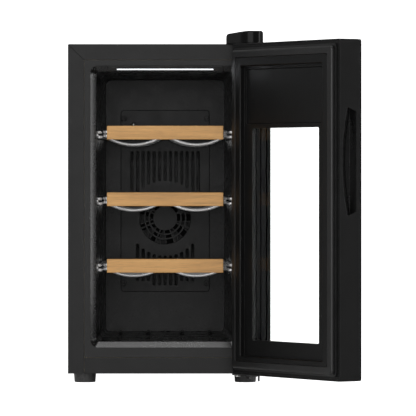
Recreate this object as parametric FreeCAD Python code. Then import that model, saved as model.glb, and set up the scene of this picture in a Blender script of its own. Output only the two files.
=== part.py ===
"""Thermoelectric wine cooler for eight bottles, in millimetres.

The cabinet stands on four feet with its front towards -Y and its right side towards +X. The origin is on the
floor under the middle of the cabinet. The door is built closed, square to the front, and is then turned
about its hinge pins to the angle at which it stands open.
"""

import FreeCAD
import Part
import math
import os

V = FreeCAD.Vector
X_AXIS = V(1, 0, 0)
Y_AXIS = V(0, 1, 0)
Z_AXIS = V(0, 0, 1)

# ---- driving dimensions -----------------------------------------------------------------------------------
WIDTH = 255.0
DEPTH = 460.0
FOOT_HEIGHT = 12.5
SHELL_HEIGHT = 432.0
SHEET = 1.0
FLANGE = 21.2
LINER_RIM = 8.1
LINER_WALL = 2.0
CAVITY_DEPTH = 340.0
BOTTLE_PITCH = 84.0
SHELF_PITCH = 87.5
TOP_SHELF = 337.5
DOOR_GAP = 8.0
DOOR_THICKNESS = 33.0
DOOR_OPEN_ANGLE = 121.0
HINGE_X = 111.9
HINGE_FORWARD = 26.7

# ---- sizes that follow from them --------------------------------------------------------------------------
HALF = WIDTH / 2
FRONT = -DEPTH / 2
REAR = DEPTH / 2
BASE = FOOT_HEIGHT
TOP = BASE + SHELL_HEIGHT
HINGE_Y = FRONT - HINGE_FORWARD
BACK_WALL = FRONT + CAVITY_DEPTH
DOOR_IN = FRONT - DOOR_GAP
DOOR_OUT = DOOR_IN - DOOR_THICKNESS


# ---- small tools ------------------------------------------------------------------------------------------
def box(x0, x1, y0, y1, z0, z1):
    """A box between two corners."""
    return Part.makeBox(x1 - x0, y1 - y0, z1 - z0, V(x0, y0, z0))


def rod(radius, start, end):
    """A round bar between two points."""
    run = end - start
    return Part.makeCylinder(radius, run.Length, start, run)


def rounded_outline(x0, x1, z0, z1, radius, y):
    """A rectangle with round corners, upright in the plane at y."""
    corners = [(x1 - radius, z0 + radius, -90), (x1 - radius, z1 - radius, 0),
               (x0 + radius, z1 - radius, 90), (x0 + radius, z0 + radius, 180)]
    edges = []
    last = None
    first = None
    for cx, cz, start in corners:
        points = []
        for turn in (0, 45, 90):
            a = math.radians(start + turn)
            points.append(V(cx + radius * math.cos(a), y, cz + radius * math.sin(a)))
        if last is None:
            first = points[0]
        else:
            edges.append(Part.LineSegment(last, points[0]).toShape())
        edges.append(Part.Arc(*points).toShape())
        last = points[2]
    edges.append(Part.LineSegment(last, first).toShape())
    return Part.Wire(edges)


def slab(x0, x1, z0, z1, radius, y0, y1):
    """An upright plate with round corners, from y0 to y1."""
    face = Part.Face(rounded_outline(x0, x1, z0, z1, radius, y0))
    return face.extrude(V(0, y1 - y0, 0))


def ring(outer, inner, y0, y1):
    """An upright frame: one rounded plate less another, each given as (x0, x1, z0, z1, radius)."""
    return slab(*outer, y0, y1).cut(slab(*inner, y0 - 1, y1 + 1))


def fuse(shapes):
    """All shapes as one, with the seams between flat faces taken out."""
    shapes = list(shapes)
    whole = shapes[0].multiFuse(shapes[1:]) if len(shapes) > 1 else shapes[0]
    return whole.removeSplitter()


def cut(shape, tools):
    """A shape less all of the tools."""
    tools = list(tools)
    return shape.cut(tools) if tools else shape


def eased(shape, radius, wanted):
    """Rounds the edges for which wanted(edge) is true."""
    edges = [edge for edge in shape.Edges if wanted(edge)]
    return shape.makeFillet(radius, edges)


def runs_along(edge, axis):
    """True for a straight edge that runs along an axis."""
    if not isinstance(edge.Curve, Part.Line):
        return False
    return abs(edge.Curve.Direction.dot(axis)) > 0.999


def swept(radius, points, curve_at):
    """A round wire along a path of straight runs and arcs. curve_at maps a corner's number to its radius."""
    edges = []
    here = points[0]
    for number in range(1, len(points) - 1):
        corner = points[number]
        before = (here - corner).normalize()
        after = (points[number + 1] - corner).normalize()
        half_turn = (math.pi - before.getAngle(after)) / 2
        reach = curve_at[number] * math.tan(half_turn)
        start = corner + before * reach
        end = corner + after * reach
        to_centre = (before + after).normalize()
        middle = corner + to_centre * (curve_at[number] / math.cos(half_turn) - curve_at[number])
        if (start - here).Length > 0.001:
            edges.append(Part.LineSegment(here, start).toShape())
        edges.append(Part.Arc(start, middle, end).toShape())
        here = end
    edges.append(Part.LineSegment(here, points[-1]).toShape())
    path = Part.Wire(edges)
    circle = Part.Circle(points[0], points[1] - points[0], radius)
    return path.makePipeShell([Part.Wire([circle.toShape()])], True, True)


def countersunk_screw(tip, head_way, head_radius, shank_radius, length):
    """A cross-head screw whose head faces head_way; tip is the point of the shank."""
    way = V(head_way).normalize()
    under = tip + way * length
    body = rod(shank_radius, tip, under)
    head = Part.makeCone(shank_radius, head_radius, head_radius - shank_radius, under, way)
    rim = under + way * (head_radius - shank_radius)
    cap = rod(head_radius, rim, rim + way * 0.8)
    screw = fuse([body, head, cap])
    across = V(way.y, way.z, way.x)
    along = way.cross(across)
    face = rim + way * 0.8
    slots = []
    for side in (across, along):
        bar = rod(head_radius * 0.16, face - side * head_radius * 0.55, face + side * head_radius * 0.55)
        slots.append(bar)
    return screw.cut(slots)


def save(name, shape):
    """Writes one named sub-part, as separate solids."""
    solids = shape.Solids
    whole = solids[0] if len(solids) == 1 else Part.makeCompound(solids)
    if not whole.isValid():
        print("not valid:", name)
    whole.exportStep(os.path.join("parts", name + ".step"))
    print("%-22s %2d solids %9.0f mm3" % (name, len(solids), sum(s.Volume for s in solids)))


os.makedirs("parts", exist_ok=True)

# ---- cavity outline, shared by the liner, the foam and everything that sits in the opening ----------------
RIM_HALF = HALF - FLANGE
MOUTH_HALF = RIM_HALF - LINER_RIM
MOUTH_TOP = TOP - 28.2
MOUTH_BOTTOM = BASE + 34.0
RIM_TOP = TOP - 20.7
RIM_BOTTOM = BASE + FLANGE
CHAMFER = 7.6
THROAT = FRONT + CHAMFER
DRAFT_SIDE = 8.3
DRAFT_TOP = 3.8
DRAFT_FLOOR = 2.0
FLOOR_FRONT = MOUTH_BOTTOM + CHAMFER
FLOOR_BACK = FLOOR_FRONT + DRAFT_FLOOR


def cavity(grow):
    """The inside of the tub, grown by a wall thickness: mouth, chamfer, then drafted walls to the back."""
    far = BACK_WALL + grow
    sections = [
        rounded_outline(-MOUTH_HALF - grow, MOUTH_HALF + grow, MOUTH_BOTTOM - grow, MOUTH_TOP + grow,
                        10 + grow, FRONT),
        rounded_outline(-MOUTH_HALF + CHAMFER - grow, MOUTH_HALF - CHAMFER + grow, FLOOR_FRONT - grow,
                        MOUTH_TOP - CHAMFER + grow, 5 + grow, THROAT),
        rounded_outline(-MOUTH_HALF + CHAMFER + DRAFT_SIDE - grow, MOUTH_HALF - CHAMFER - DRAFT_SIDE + grow,
                        FLOOR_BACK - grow, MOUTH_TOP - CHAMFER - DRAFT_TOP + grow, 7 + grow, far),
    ]
    return Part.makeLoft(sections, True, True)


# ---- shelves: levels that the grooves, the runners and the shelves share ----------------------------------
SHELVES = [TOP_SHELF - SHELF_PITCH * n for n in range(3)]
WIRE = 1.9
RAIL_X = 80.2
RAIL_DROPS = (8.0, 13.3)
WAVE_DROP = 12.05
RUNNERS = ((8.4, 85.2), (14.7, 83.9))
RUNNER_OUTER = 89.6
RUNNER_FRONT = FRONT + 24
RUNNER_BACK = BACK_WALL - 12
GROOVE_HALF = 92.2
GROOVE_FRONT = FRONT + 9.0
GROOVE_BACK = BACK_WALL - 8


def groove(top, side, grow):
    """The channel in a side wall that holds the outer legs of a runner."""
    x0, x1 = sorted((side * 78, side * (GROOVE_HALF + grow)))
    return box(x0, x1, GROOVE_FRONT - grow, GROOVE_BACK + grow, top - 17.4 - grow, top - 5.6 + grow)


# ---- cold side: the pocket behind the fan cover -----------------------------------------------------------
COVER_HALF = 61.75
COVER_BOTTOM = 111.0
COVER_TOP = 363.5
POCKET_HALF = 54.0
POCKET_BOTTOM = 118.0
POCKET_TOP = 355.0
POCKET_BACK = BACK_WALL + 40
FAN_Z = 213.0
FOAM_BACK = POCKET_BACK + 24
PARTITION_BACK = FOAM_BACK + SHEET

# ---- places of screws and pipes that pass through several parts -------------------------------------------
TOP_SCREWS = [(93, FRONT + 12), (117, FRONT + 12), (105, FRONT + 29)]
LOW_SCREWS = [(95, FRONT + 11), (117, FRONT + 11)]
COVER_SCREWS = [(x, z) for x in (-57.4, 57.4) for z in (COVER_BOTTOM + 12, 240, COVER_TOP - 12)]
DRAIN_Y = BACK_WALL - 20
M4_HOLE = 2.1
COVER_SCREW_HOLE = 1.5


def cover_screw_holes():
    """Clearance for the fan cover's screws behind the back wall's face."""
    return [rod(COVER_SCREW_HOLE, V(x, BACK_WALL - 1, z), V(x, BACK_WALL + 6, z)) for x, z in COVER_SCREWS]


# ---- outer shell: one sheet folded over both sides and the top, its front edge turned in and mitred -------
shell = box(-HALF, HALF, FRONT, REAR, BASE, TOP)
shell = eased(shell, 1.5, lambda e: runs_along(e, Y_AXIS) and e.BoundBox.ZMin > TOP - 1)
shell = shell.cut(box(-HALF + SHEET, HALF - SHEET, FRONT + SHEET, REAR + 1, BASE - 1, TOP - SHEET))
shell = shell.cut(box(-RIM_HALF, RIM_HALF, FRONT - 1, FRONT + 5, BASE - 1, RIM_TOP))
shell = eased(shell, 0.8, lambda e: e.BoundBox.YMax < FRONT + 0.01 and (
    (runs_along(e, Z_AXIS) and abs(e.BoundBox.XMin) > HALF - 0.01)
    or (runs_along(e, X_AXIS) and e.BoundBox.ZMin > TOP - 0.01)))
for side in (-1, 1):
    corner = V(side * (HALF + 2), FRONT - 0.4, TOP + 2)
    seam = box(-0.25, 0.25, 0, SHEET * 0.75 + 0.4, -40, 0)
    seam.rotate(V(0, 0, 0), Y_AXIS, side * 45)
    seam.translate(corner)
    reach = box(-HALF - 3, HALF + 3, FRONT - 1, FRONT + 2, RIM_TOP, TOP + 3)
    shell = shell.cut(seam.common(reach))
rear_lip = box(-HALF + SHEET, HALF - SHEET, REAR - 14, REAR - 13, TOP - 9, TOP - SHEET)
shell = fuse([shell, rear_lip])
for side in (-1, 1):
    x0, x1 = sorted((side * (HALF - SHEET), side * (HALF - 9)))
    shell = fuse([shell, box(x0, x1, REAR - 14, REAR - 13, BASE + 1.2, TOP - SHEET)])
shell = cut(shell, [rod(M4_HOLE, V(x, y, TOP - 3), V(x, y, TOP + 1)) for x, y in TOP_SCREWS])
save("outer_shell", shell)

# ---- base plate: closes the bottom, and its front edge is turned up between the side flanges --------------
FOOT_X = 105.7
FOOT_FRONT_Y = FRONT + 36
FOOT_TOP = 14.8
FOOT_SOLE = 13.8
FOOT_REAR_Y = REAR - 35
FEET = [(-FOOT_X, FOOT_FRONT_Y), (FOOT_X, FOOT_FRONT_Y), (-FOOT_X, FOOT_REAR_Y), (FOOT_X, FOOT_REAR_Y)]
plate_in = HALF - SHEET - 0.1
base_plate = box(-plate_in, plate_in, FRONT + 1.2, REAR - 0.2, BASE, BASE + 1.2)
front_lip = box(-RIM_HALF + 0.3, RIM_HALF - 0.3, FRONT, FRONT + 1.2, BASE, RIM_BOTTOM - 0.3)
front_lip = front_lip.fuse(box(-RIM_HALF + 0.3, RIM_HALF - 0.3, FRONT + 1.2, FRONT + 8, BASE, BASE + 1.2))
base_plate = fuse([base_plate, front_lip])
base_plate = eased(base_plate, 1.0, lambda e: runs_along(e, X_AXIS) and e.BoundBox.YMax < FRONT + 0.01
                   and e.BoundBox.ZMax < BASE + 0.01)
base_plate = cut(base_plate, [rod(2.2, V(x, y, BASE - 1), V(x, y, BASE + 3)) for x, y in FEET])
base_plate = cut(base_plate, [rod(M4_HOLE, V(x, y, BASE - 1), V(x, y, BASE + 3)) for x, y in LOW_SCREWS])
base_plate = base_plate.cut(rod(3.8, V(0, DRAIN_Y, BASE - 1), V(0, DRAIN_Y, BASE + 3)))
save("base_plate", base_plate)


def floor_rib(x, start):
    """A low rib along the cavity floor, its section a rounded ridge and its ends run down to the floor."""
    foot = FLOOR_FRONT - 0.8 + DRAFT_FLOOR * (start - THROAT) / (BACK_WALL - THROAT)
    high = foot + RIB_TALL
    side = [V(x - 3, start, foot), V(x - 3, start, foot + 1), V(x - 3, start + RIB_RAMP, high),
            V(x - 3, start + RIB_LONG - RIB_RAMP, high), V(x - 3, start + RIB_LONG, foot + 1),
            V(x - 3, start + RIB_LONG, foot), V(x - 3, start, foot)]
    prism = Part.Face(Part.makePolygon(side)).extrude(V(6, 0, 0))
    bar = box(x - 3, x + 3, start - 1, start + RIB_LONG + 1, foot, high)
    bar = eased(bar, 2.6, lambda e: e.BoundBox.ZMin > high - 0.01 and runs_along(e, Y_AXIS))
    return bar.common(prism)


# ---- inner liner: a moulded tub with a flat rim, a chamfered mouth, runner grooves and bottle ribs --------
rim = slab(-RIM_HALF + 0.3, RIM_HALF - 0.3, RIM_BOTTOM, RIM_TOP - 0.3, 0.6, FRONT, FRONT + LINER_WALL)
liner = fuse([rim, cavity(LINER_WALL)])
liner = fuse([liner] + [groove(top, side, LINER_WALL) for top in SHELVES for side in (-1, 1)])
liner = liner.cut(cavity(0))
liner = cut(liner, [groove(top, side, 0) for top in SHELVES for side in (-1, 1)])
pocket_mouth = slab(-POCKET_HALF, POCKET_HALF, POCKET_BOTTOM, POCKET_TOP, 5, BACK_WALL - 1, BACK_WALL + 6)
liner = liner.cut(pocket_mouth)
RIB_OFFSET = 19.0
RIB_LONG = 96.0
RIB_TALL = 4.6
RIB_RAMP = 12.0
ribs = []
for bottle_x in (-BOTTLE_PITCH / 2, BOTTLE_PITCH / 2):
    for rib_x in (bottle_x - RIB_OFFSET, bottle_x + RIB_OFFSET):
        for start in (FRONT + 34, FRONT + 214):
            ribs.append(floor_rib(rib_x, start))
liner = fuse([liner] + ribs)
LAMP_HALF = 76.0
CHAMFER_FACE = CHAMFER * math.sqrt(2)


def on_chamfer(shape):
    """Lays an upright shape on the chamfer over the mouth; its z = 0 goes to the chamfer's upper edge."""
    laid = shape.copy()
    laid.rotate(V(0, 0, 0), X_AXIS, 45)
    laid.translate(V(0, FRONT, MOUTH_TOP))
    return laid


def lamp_seat(grow):
    """The moulded pocket for the lamp behind the chamfer, grown by a wall thickness."""
    pocket = box(-LAMP_HALF - 0.3 - grow, LAMP_HALF + 0.3 + grow, -1, 7 + grow,
                 -CHAMFER_FACE + 0.6 - grow, -0.6 + grow)
    return on_chamfer(pocket).common(box(-HALF, HALF, FRONT, FRONT + 60, BASE, TOP))


liner = fuse([liner, lamp_seat(LINER_WALL).cut(cavity(0))])
liner = liner.cut(lamp_seat(0))
drain = V(0, DRAIN_Y, FLOOR_BACK - 6)
liner = liner.cut(rod(3.6, drain, drain + V(0, 0, 12)))
liner = cut(liner, cover_screw_holes())
save("inner_liner", liner)

# ---- lamp: a housing in the chamfer over the mouth, a board and a bar lens that faces down and forward 
LENS_HALF = 63.3
LENS_MIDDLE = -6.6
lamp = slab(-LAMP_HALF, LAMP_HALF, -CHAMFER_FACE + 0.9, -0.9, 1.5, -0.4, 6.6)
lamp = eased(lamp, 0.35, lambda e: e.BoundBox.YMax < -0.39)
lens_opening = slab(-LENS_HALF - 0.15, LENS_HALF + 0.15, LENS_MIDDLE - 1.15, LENS_MIDDLE + 1.15, 1.1, -1, 3)
lamp = lamp.cut(lens_opening)
lamp = lamp.cut(box(-LENS_HALF - 2, LENS_HALF + 2, 2.6, 8, -CHAMFER_FACE + 1.6, -1.6))
save("lamp_housing", on_chamfer(lamp))
lens = slab(-LENS_HALF, LENS_HALF, LENS_MIDDLE - 1.0, LENS_MIDDLE + 1.0, 0.95, -0.7, 2.6)
lens = eased(lens, 0.4, lambda e: e.BoundBox.YMax < -0.69)
save("lamp_lens", on_chamfer(lens))
lamp_board = box(-LENS_HALF - 1.5, LENS_HALF + 1.5, 4.2, 5.6, LENS_MIDDLE - 2.2, LENS_MIDDLE + 3.4)
LED_SPAN = 110.0
leds = [box(x - 1.4, x + 1.4, 3.0, 4.2, LENS_MIDDLE - 1.4, LENS_MIDDLE + 1.4)
        for x in [LED_SPAN * (n / 9 - 0.5) for n in range(10)]]
save("lamp_board", on_chamfer(fuse([lamp_board] + leds)))

# ---- cold pocket: the moulded box behind the back wall that holds the fan and the cold sink ---------------
pocket_outer = slab(-POCKET_HALF - 3, POCKET_HALF + 3, POCKET_BOTTOM - 3, POCKET_TOP + 3, 6,
                    BACK_WALL + LINER_WALL, POCKET_BACK)
pocket_inner = slab(-POCKET_HALF, POCKET_HALF, POCKET_BOTTOM, POCKET_TOP, 5, BACK_WALL, POCKET_BACK - 2)
BLOCK_HALF = 22.0
BLOCK_Z = 235.0
block_hole = box(-BLOCK_HALF - 0.5, BLOCK_HALF + 0.5, POCKET_BACK - 5, FOAM_BACK + 5,
                 BLOCK_Z - BLOCK_HALF - 0.5, BLOCK_Z + BLOCK_HALF + 0.5)
pocket = cut(pocket_outer, [pocket_inner, block_hole] + cover_screw_holes())
save("cold_pocket", pocket)

# ---- fan cover: a flat moulding with upright slots above and below a round fan guard ----------------------
COVER_FRONT = BACK_WALL - 2.6
FAN_OPENING = 36.0
SLOT_PITCH = 7.65
cover = slab(-COVER_HALF, COVER_HALF, COVER_BOTTOM, COVER_TOP, 5, COVER_FRONT, BACK_WALL - 0.2)
cover = eased(cover, 0.9, lambda e: e.BoundBox.YMax < COVER_FRONT + 0.01)
SLOT_TOP = 306.4
SLOT_BOTTOM = 120.0
cuts = []
for n in range(-6, 7):
    x = n * SLOT_PITCH
    foot = FAN_Z + math.sqrt(max(0.0, 52.0 ** 2 - x * x))
    cuts.append(slab(x - 2.3, x + 2.3, foot, SLOT_TOP, 2.2, COVER_FRONT - 1, BACK_WALL + 1))
for n in range(-5, 6):
    x = n * SLOT_PITCH
    head = FAN_Z - math.sqrt(max(0.0, 52.0 ** 2 - x * x))
    foot = SLOT_BOTTOM + (0 if abs(n) < 3 else 6)
    cuts.append(slab(x - 2.3, x + 2.3, foot, head, 2.2, COVER_FRONT - 1, BACK_WALL + 1))
guard_centre = V(0, COVER_FRONT - 3, FAN_Z)
cuts.append(rod(FAN_OPENING, guard_centre, guard_centre + V(0, 10, 0)))
cover = cut(cover, cuts)
guard = []
for outer_r, inner_r in ((16.7, 0.0), (23.4, 21.0), (29.6, 27.4)):
    disc = rod(outer_r, V(0, COVER_FRONT, FAN_Z), V(0, BACK_WALL - 0.2, FAN_Z))
    if inner_r:
        disc = disc.cut(rod(inner_r, V(0, COVER_FRONT - 1, FAN_Z), V(0, BACK_WALL + 1, FAN_Z)))
    guard.append(disc)
for n in range(8):
    spoke = box(12, FAN_OPENING + 1, COVER_FRONT + 0.4, BACK_WALL - 0.2, FAN_Z - 1.1, FAN_Z + 1.1)
    spoke.rotate(V(0, 0, FAN_Z), Y_AXIS, 22.5 + 45 * n)
    guard.append(spoke)
bosses = [rod(4.2, V(x, COVER_FRONT - 0.9, z), V(x, BACK_WALL - 0.2, z)) for x, z in COVER_SCREWS]
cover = fuse([cover] + guard + bosses)
cover = cut(cover, [rod(1.7, V(x, COVER_FRONT - 3, z), V(x, BACK_WALL + 2, z)) for x, z in COVER_SCREWS])
sinks = [Part.makeCone(3.4, 1.7, 1.7, V(x, COVER_FRONT - 0.9, z), Y_AXIS) for x, z in COVER_SCREWS]
cover = cut(cover, sinks)
PROBE_X = -44.0
PROBE_Y = COVER_FRONT - 3.4
clip = box(PROBE_X - 4, PROBE_X + 4, PROBE_Y, COVER_FRONT + 0.1, 331, 337)
clip = clip.cut(rod(2.7, V(PROBE_X, PROBE_Y, 320), V(PROBE_X, PROBE_Y, 350)))
cover = fuse([cover, clip])
save("fan_cover", cover)
screws = [countersunk_screw(V(x, COVER_FRONT + 7.4, z), -Y_AXIS, 3.0, 1.4, 6.6) for x, z in COVER_SCREWS]
save("fan_cover_screws", Part.makeCompound(screws))

# ---- temperature probe: a small capsule held by a clip on the left side of the fan cover ------------------
probe = rod(2.6, V(PROBE_X, PROBE_Y, 322), V(PROBE_X, PROBE_Y, 346))
probe = eased(probe, 2.0, lambda e: e.BoundBox.ZMax < 322.1 or e.BoundBox.ZMin > 345.9)
save("probe_capsule", probe)


# ---- fans: a square frame with a round duct, struts and a motor cup, and a bladed rotor -------------------
def fan_frame(size, thickness, y0, z, bore):
    """A fan frame whose duct runs along Y. Three struts hold the motor disc on its rear side."""
    half = size / 2
    frame = slab(-half, half, z - half, z + half, 4, y0, y0 + thickness)
    frame = frame.cut(rod(bore, V(0, y0 - 1, z), V(0, y0 + thickness + 1, z)))
    hub = rod(13, V(0, y0 + thickness - 2, z), V(0, y0 + thickness, z))
    struts = []
    for n in range(3):
        strut = box(10, bore + 1, y0 + thickness - 2, y0 + thickness, z - 1.6, z + 1.6)
        strut.rotate(V(0, 0, z), Y_AXIS, 30 + 120 * n)
        struts.append(strut)
    pin = rod(1.5, V(0, y0 + 4.6, z), V(0, y0 + thickness - 1, z))
    inset = half - 4.2
    holes = [rod(2.0, V(x, y0 - 1, z + dz), V(x, y0 + thickness + 1, z + dz))
             for x in (-inset, inset) for dz in (-inset, inset)]
    return cut(fuse([frame, hub, pin] + struts), holes)


def fan_rotor(tip, hub_radius, y0, depth, z, blades):
    """A rotor on the frame's pin: a cup with pitched blades round it."""
    cup = rod(hub_radius, V(0, y0, z), V(0, y0 + depth, z))
    cup = eased(cup, 1.5, lambda e: e.BoundBox.YMax < y0 + 0.01)
    cup = cup.cut(rod(hub_radius - 1.6, V(0, y0 + 1.6, z), V(0, y0 + depth + 1, z)))
    post = rod(3.2, V(0, y0 + 1, z), V(0, y0 + depth - 0.5, z))
    post = post.cut(rod(1.55, V(0, y0 + 3, z), V(0, y0 + depth + 1, z)))
    limit = rod(tip, V(0, y0 + 0.6, z), V(0, y0 + depth - 0.4, z))
    limit = limit.cut(rod(hub_radius - 0.8, V(0, y0 - 1, z), V(0, y0 + depth + 1, z)))
    made = [cup, post]
    for n in range(blades):
        blade = box(hub_radius - 1.2, tip + 2, -depth, depth, -0.65, 0.65)
        blade.rotate(V(0, 0, 0), X_AXIS, 42)
        blade.translate(V(0, y0 + depth / 2, z))
        blade.rotate(V(0, 0, z), Y_AXIS, 360.0 / blades * n)
        made.append(blade.common(limit))
    return fuse(made)


COLD_FAN_Y = BACK_WALL + 1.5
save("cold_fan_frame", fan_frame(76.0, 15.0, COLD_FAN_Y, FAN_Z, 36.0))
save("cold_fan_rotor", fan_rotor(35.0, 15.0, COLD_FAN_Y + 1.0, 11.0, FAN_Z, 9))

# ---- cold sink, spacer block, thermoelectric module and hot sink: the heat's way out through the foam -----
SINK_HALF = 48.0
sink_front = COLD_FAN_Y + 16
sink_back = POCKET_BACK - 2.2
cold_sink = [box(-SINK_HALF, SINK_HALF, sink_back - 4, sink_back, BLOCK_Z - 58, BLOCK_Z + 58)]
for n in range(17):
    x = -SINK_HALF + 1 + (2 * SINK_HALF - 2) / 16 * n
    cold_sink.append(box(x - 0.7, x + 0.7, sink_front, sink_back - 3.5, BLOCK_Z - 58, BLOCK_Z + 58))
save("cold_sink", fuse(cold_sink))
PELTIER = 4.0
block_end = FOAM_BACK + SHEET - PELTIER
cold_block = box(-20, 20, sink_back, block_end, BLOCK_Z - 20, BLOCK_Z + 20)
cold_block = eased(cold_block, 1.0, lambda e: runs_along(e, Y_AXIS))
save("cold_block", cold_block)
plates = [box(-20, 20, block_end, block_end + 0.8, BLOCK_Z - 20, BLOCK_Z + 20),
          box(-20, 20, block_end + PELTIER - 0.8, block_end + PELTIER, BLOCK_Z - 20, BLOCK_Z + 20)]
pellets = [box(x, x + 2.6, block_end + 0.8, block_end + PELTIER - 0.8, z, z + 2.6)
           for x in [-18 + 4.8 * n for n in range(8)] for z in [BLOCK_Z - 18 + 4.8 * n for n in range(8)]]
save("peltier_module", fuse(plates + pellets))
HOT_Y = PARTITION_BACK
HOT_Z = 235.0
HOT_HALF = 62.0
hot = [box(-HOT_HALF, HOT_HALF, HOT_Y, HOT_Y + 5, HOT_Z - 55, HOT_Z + 55)]
for n in range(25):
    x = -HOT_HALF + 0.8 + (2 * HOT_HALF - 1.6) / 24 * n
    hot.append(box(x - 0.6, x + 0.6, HOT_Y + 4.5, HOT_Y + 26, HOT_Z - 55, HOT_Z + 55))
hot_sink = fuse(hot)
save("hot_sink", hot_sink)
HOT_FAN_Y = HOT_Y + 26.4
save("hot_fan_frame", fan_frame(92.0, 15.0, HOT_FAN_Y, HOT_Z, 43.5))
save("hot_fan_rotor", fan_rotor(42.4, 18.0, HOT_FAN_Y + 1.0, 11.0, HOT_Z, 7))

# ---- insulation: foam that fills the space between shell, base, liner and partition -----------------------
foam = box(-HALF + SHEET, HALF - SHEET, FRONT + LINER_WALL + 0.2, FOAM_BACK, BASE + 1.3, TOP - SHEET)
core = [cavity(LINER_WALL + 0.15)]
core += [groove(top, side, LINER_WALL + 0.05) for top in SHELVES for side in (-1, 1)]
core.append(lamp_seat(LINER_WALL + 0.05))
core.append(slab(-POCKET_HALF - 3.05, POCKET_HALF + 3.05, POCKET_BOTTOM - 3.05, POCKET_TOP + 3.05, 6,
                 BACK_WALL, POCKET_BACK + 0.05))
core.append(block_hole)
core.append(rod(4.6, V(0, DRAIN_Y, BASE), V(0, DRAIN_Y, FLOOR_BACK)))
core += cover_screw_holes()
core += [rod(M4_HOLE, V(x, y, TOP - 10), V(x, y, TOP)) for x, y in TOP_SCREWS]
core += [rod(M4_HOLE, V(x, y, BASE), V(x, y, BASE + 11)) for x, y in LOW_SCREWS]
core += [rod(7.0, V(x, y, BASE), V(x, y, BASE + 9)) for x, y in FEET]
foam = cut(foam, core)
save("insulation_foam", max(foam.Solids, key=lambda solid: solid.Volume))

# ---- partition: the steel sheet behind the foam, which carries the hot side -------------------------------
partition_half = HALF - SHEET - 0.1
partition = box(-partition_half, partition_half, FOAM_BACK, PARTITION_BACK, BASE + 1.3, TOP - SHEET - 0.1)
partition = partition.cut(block_hole)
save("rear_partition", partition)

# ---- drain: a grommet in the cavity floor and a pipe down through the base --------------------------------
grommet = rod(6.0, V(0, DRAIN_Y, FLOOR_BACK + 0.02), V(0, DRAIN_Y, FLOOR_BACK + 0.9))
spigot = rod(3.4, V(0, DRAIN_Y, BASE + 0.2), V(0, DRAIN_Y, FLOOR_BACK + 0.5))
grommet = fuse([grommet, spigot]).cut(rod(2.2, V(0, DRAIN_Y, 0), V(0, DRAIN_Y, FLOOR_BACK + 3)))
save("drain_grommet", grommet)

# ---- rear cover: a vented moulding with a round guard over the hot fan ------------------------------------
cover_in = HALF - SHEET - 0.4
rear = slab(-cover_in, cover_in, BASE + 1.6, TOP - SHEET - 0.4, 3, REAR - 12.8, REAR - 0.5)
rear = rear.cut(slab(-cover_in + 2, cover_in - 2, BASE + 3.6, TOP - SHEET - 2.4, 2, REAR - 14, REAR - 2.5))
vents = []
for n in range(9):
    z = TOP - 30 - 8 * n
    vents.append(slab(-92, 92, z - 1.8, z + 1.8, 1.7, REAR - 4, REAR + 1))
for n in range(5):
    z = BASE + 62 + 8 * n
    vents.append(slab(-92, 92, z - 1.8, z + 1.8, 1.7, REAR - 4, REAR + 1))
opening = rod(45, V(0, REAR - 4, HOT_Z), V(0, REAR + 1, HOT_Z))
rear = cut(rear, vents + [opening])
bars = []
for outer_r, inner_r in ((15, 0), (24, 21.8), (33, 30.8), (42, 39.8)):
    disc = rod(outer_r, V(0, REAR - 2.5, HOT_Z), V(0, REAR - 0.5, HOT_Z))
    if inner_r:
        disc = disc.cut(rod(inner_r, V(0, REAR - 3, HOT_Z), V(0, REAR + 1, HOT_Z)))
    bars.append(disc)
for n in range(6):
    bar = box(12, 46, REAR - 2.5, REAR - 0.8, HOT_Z - 1.2, HOT_Z + 1.2)
    bar.rotate(V(0, 0, HOT_Z), Y_AXIS, 60 * n)
    bars.append(bar)
rear = fuse([rear] + bars)
INLET_X = 84.0
INLET_Z = BASE + 34
rear = rear.cut(slab(INLET_X - 14.2, INLET_X + 14.2, INLET_Z - 10.2, INLET_Z + 10.2, 2, REAR - 4, REAR + 1))
REAR_SCREWS = [(x, z) for x in (-112, 112) for z in (BASE + 12, BASE + SHELL_HEIGHT / 2, TOP - 13)]
rear = cut(rear, [rod(1.9, V(x, REAR - 14, z), V(x, REAR + 1, z)) for x, z in REAR_SCREWS])
rear = cut(rear, [Part.makeCone(1.9, 3.1, 1.2, V(x, REAR - 1.6, z), Y_AXIS) for x, z in REAR_SCREWS])
save("rear_cover", rear)
screws = [countersunk_screw(V(x, REAR - 12.5, z), Y_AXIS, 3.4, 1.6, 11.0) for x, z in REAR_SCREWS]
save("rear_cover_screws", Part.makeCompound(screws))

# ---- appliance inlet: a three-pin socket for a detachable mains lead --------------------------------------
inlet = slab(INLET_X - 14, INLET_X + 14, INLET_Z - 10, INLET_Z + 10, 2, REAR - 24, REAR - 0.5)
flange = slab(INLET_X - 17.5, INLET_X + 17.5, INLET_Z - 13.5, INLET_Z + 13.5, 3, REAR - 0.5, REAR + 1.5)
inlet = fuse([inlet, flange])
mouth = slab(INLET_X - 12.1, INLET_X + 12.1, INLET_Z - 8.1, INLET_Z + 8.1, 2, REAR - 16, REAR + 2)
for side in (-1, 1):
    corner = box(-4, 4, REAR - 17, REAR + 3, -4, 4)
    corner.rotate(V(0, 0, 0), Y_AXIS, 45)
    corner.translate(V(INLET_X + side * 13.6, 0, INLET_Z + 9.6))
    mouth = mouth.cut(corner)
inlet = inlet.cut(mouth)
pins = [box(INLET_X + dx - 1, INLET_X + dx + 1, REAR - 20, REAR - 4, INLET_Z + dz - 2, INLET_Z + dz + 2)
        for dx, dz in ((-7, -1.5), (0, 2.5), (7, -1.5))]
save("power_inlet", cut(inlet, pins))
save("inlet_pins", Part.makeCompound(pins))

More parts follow.
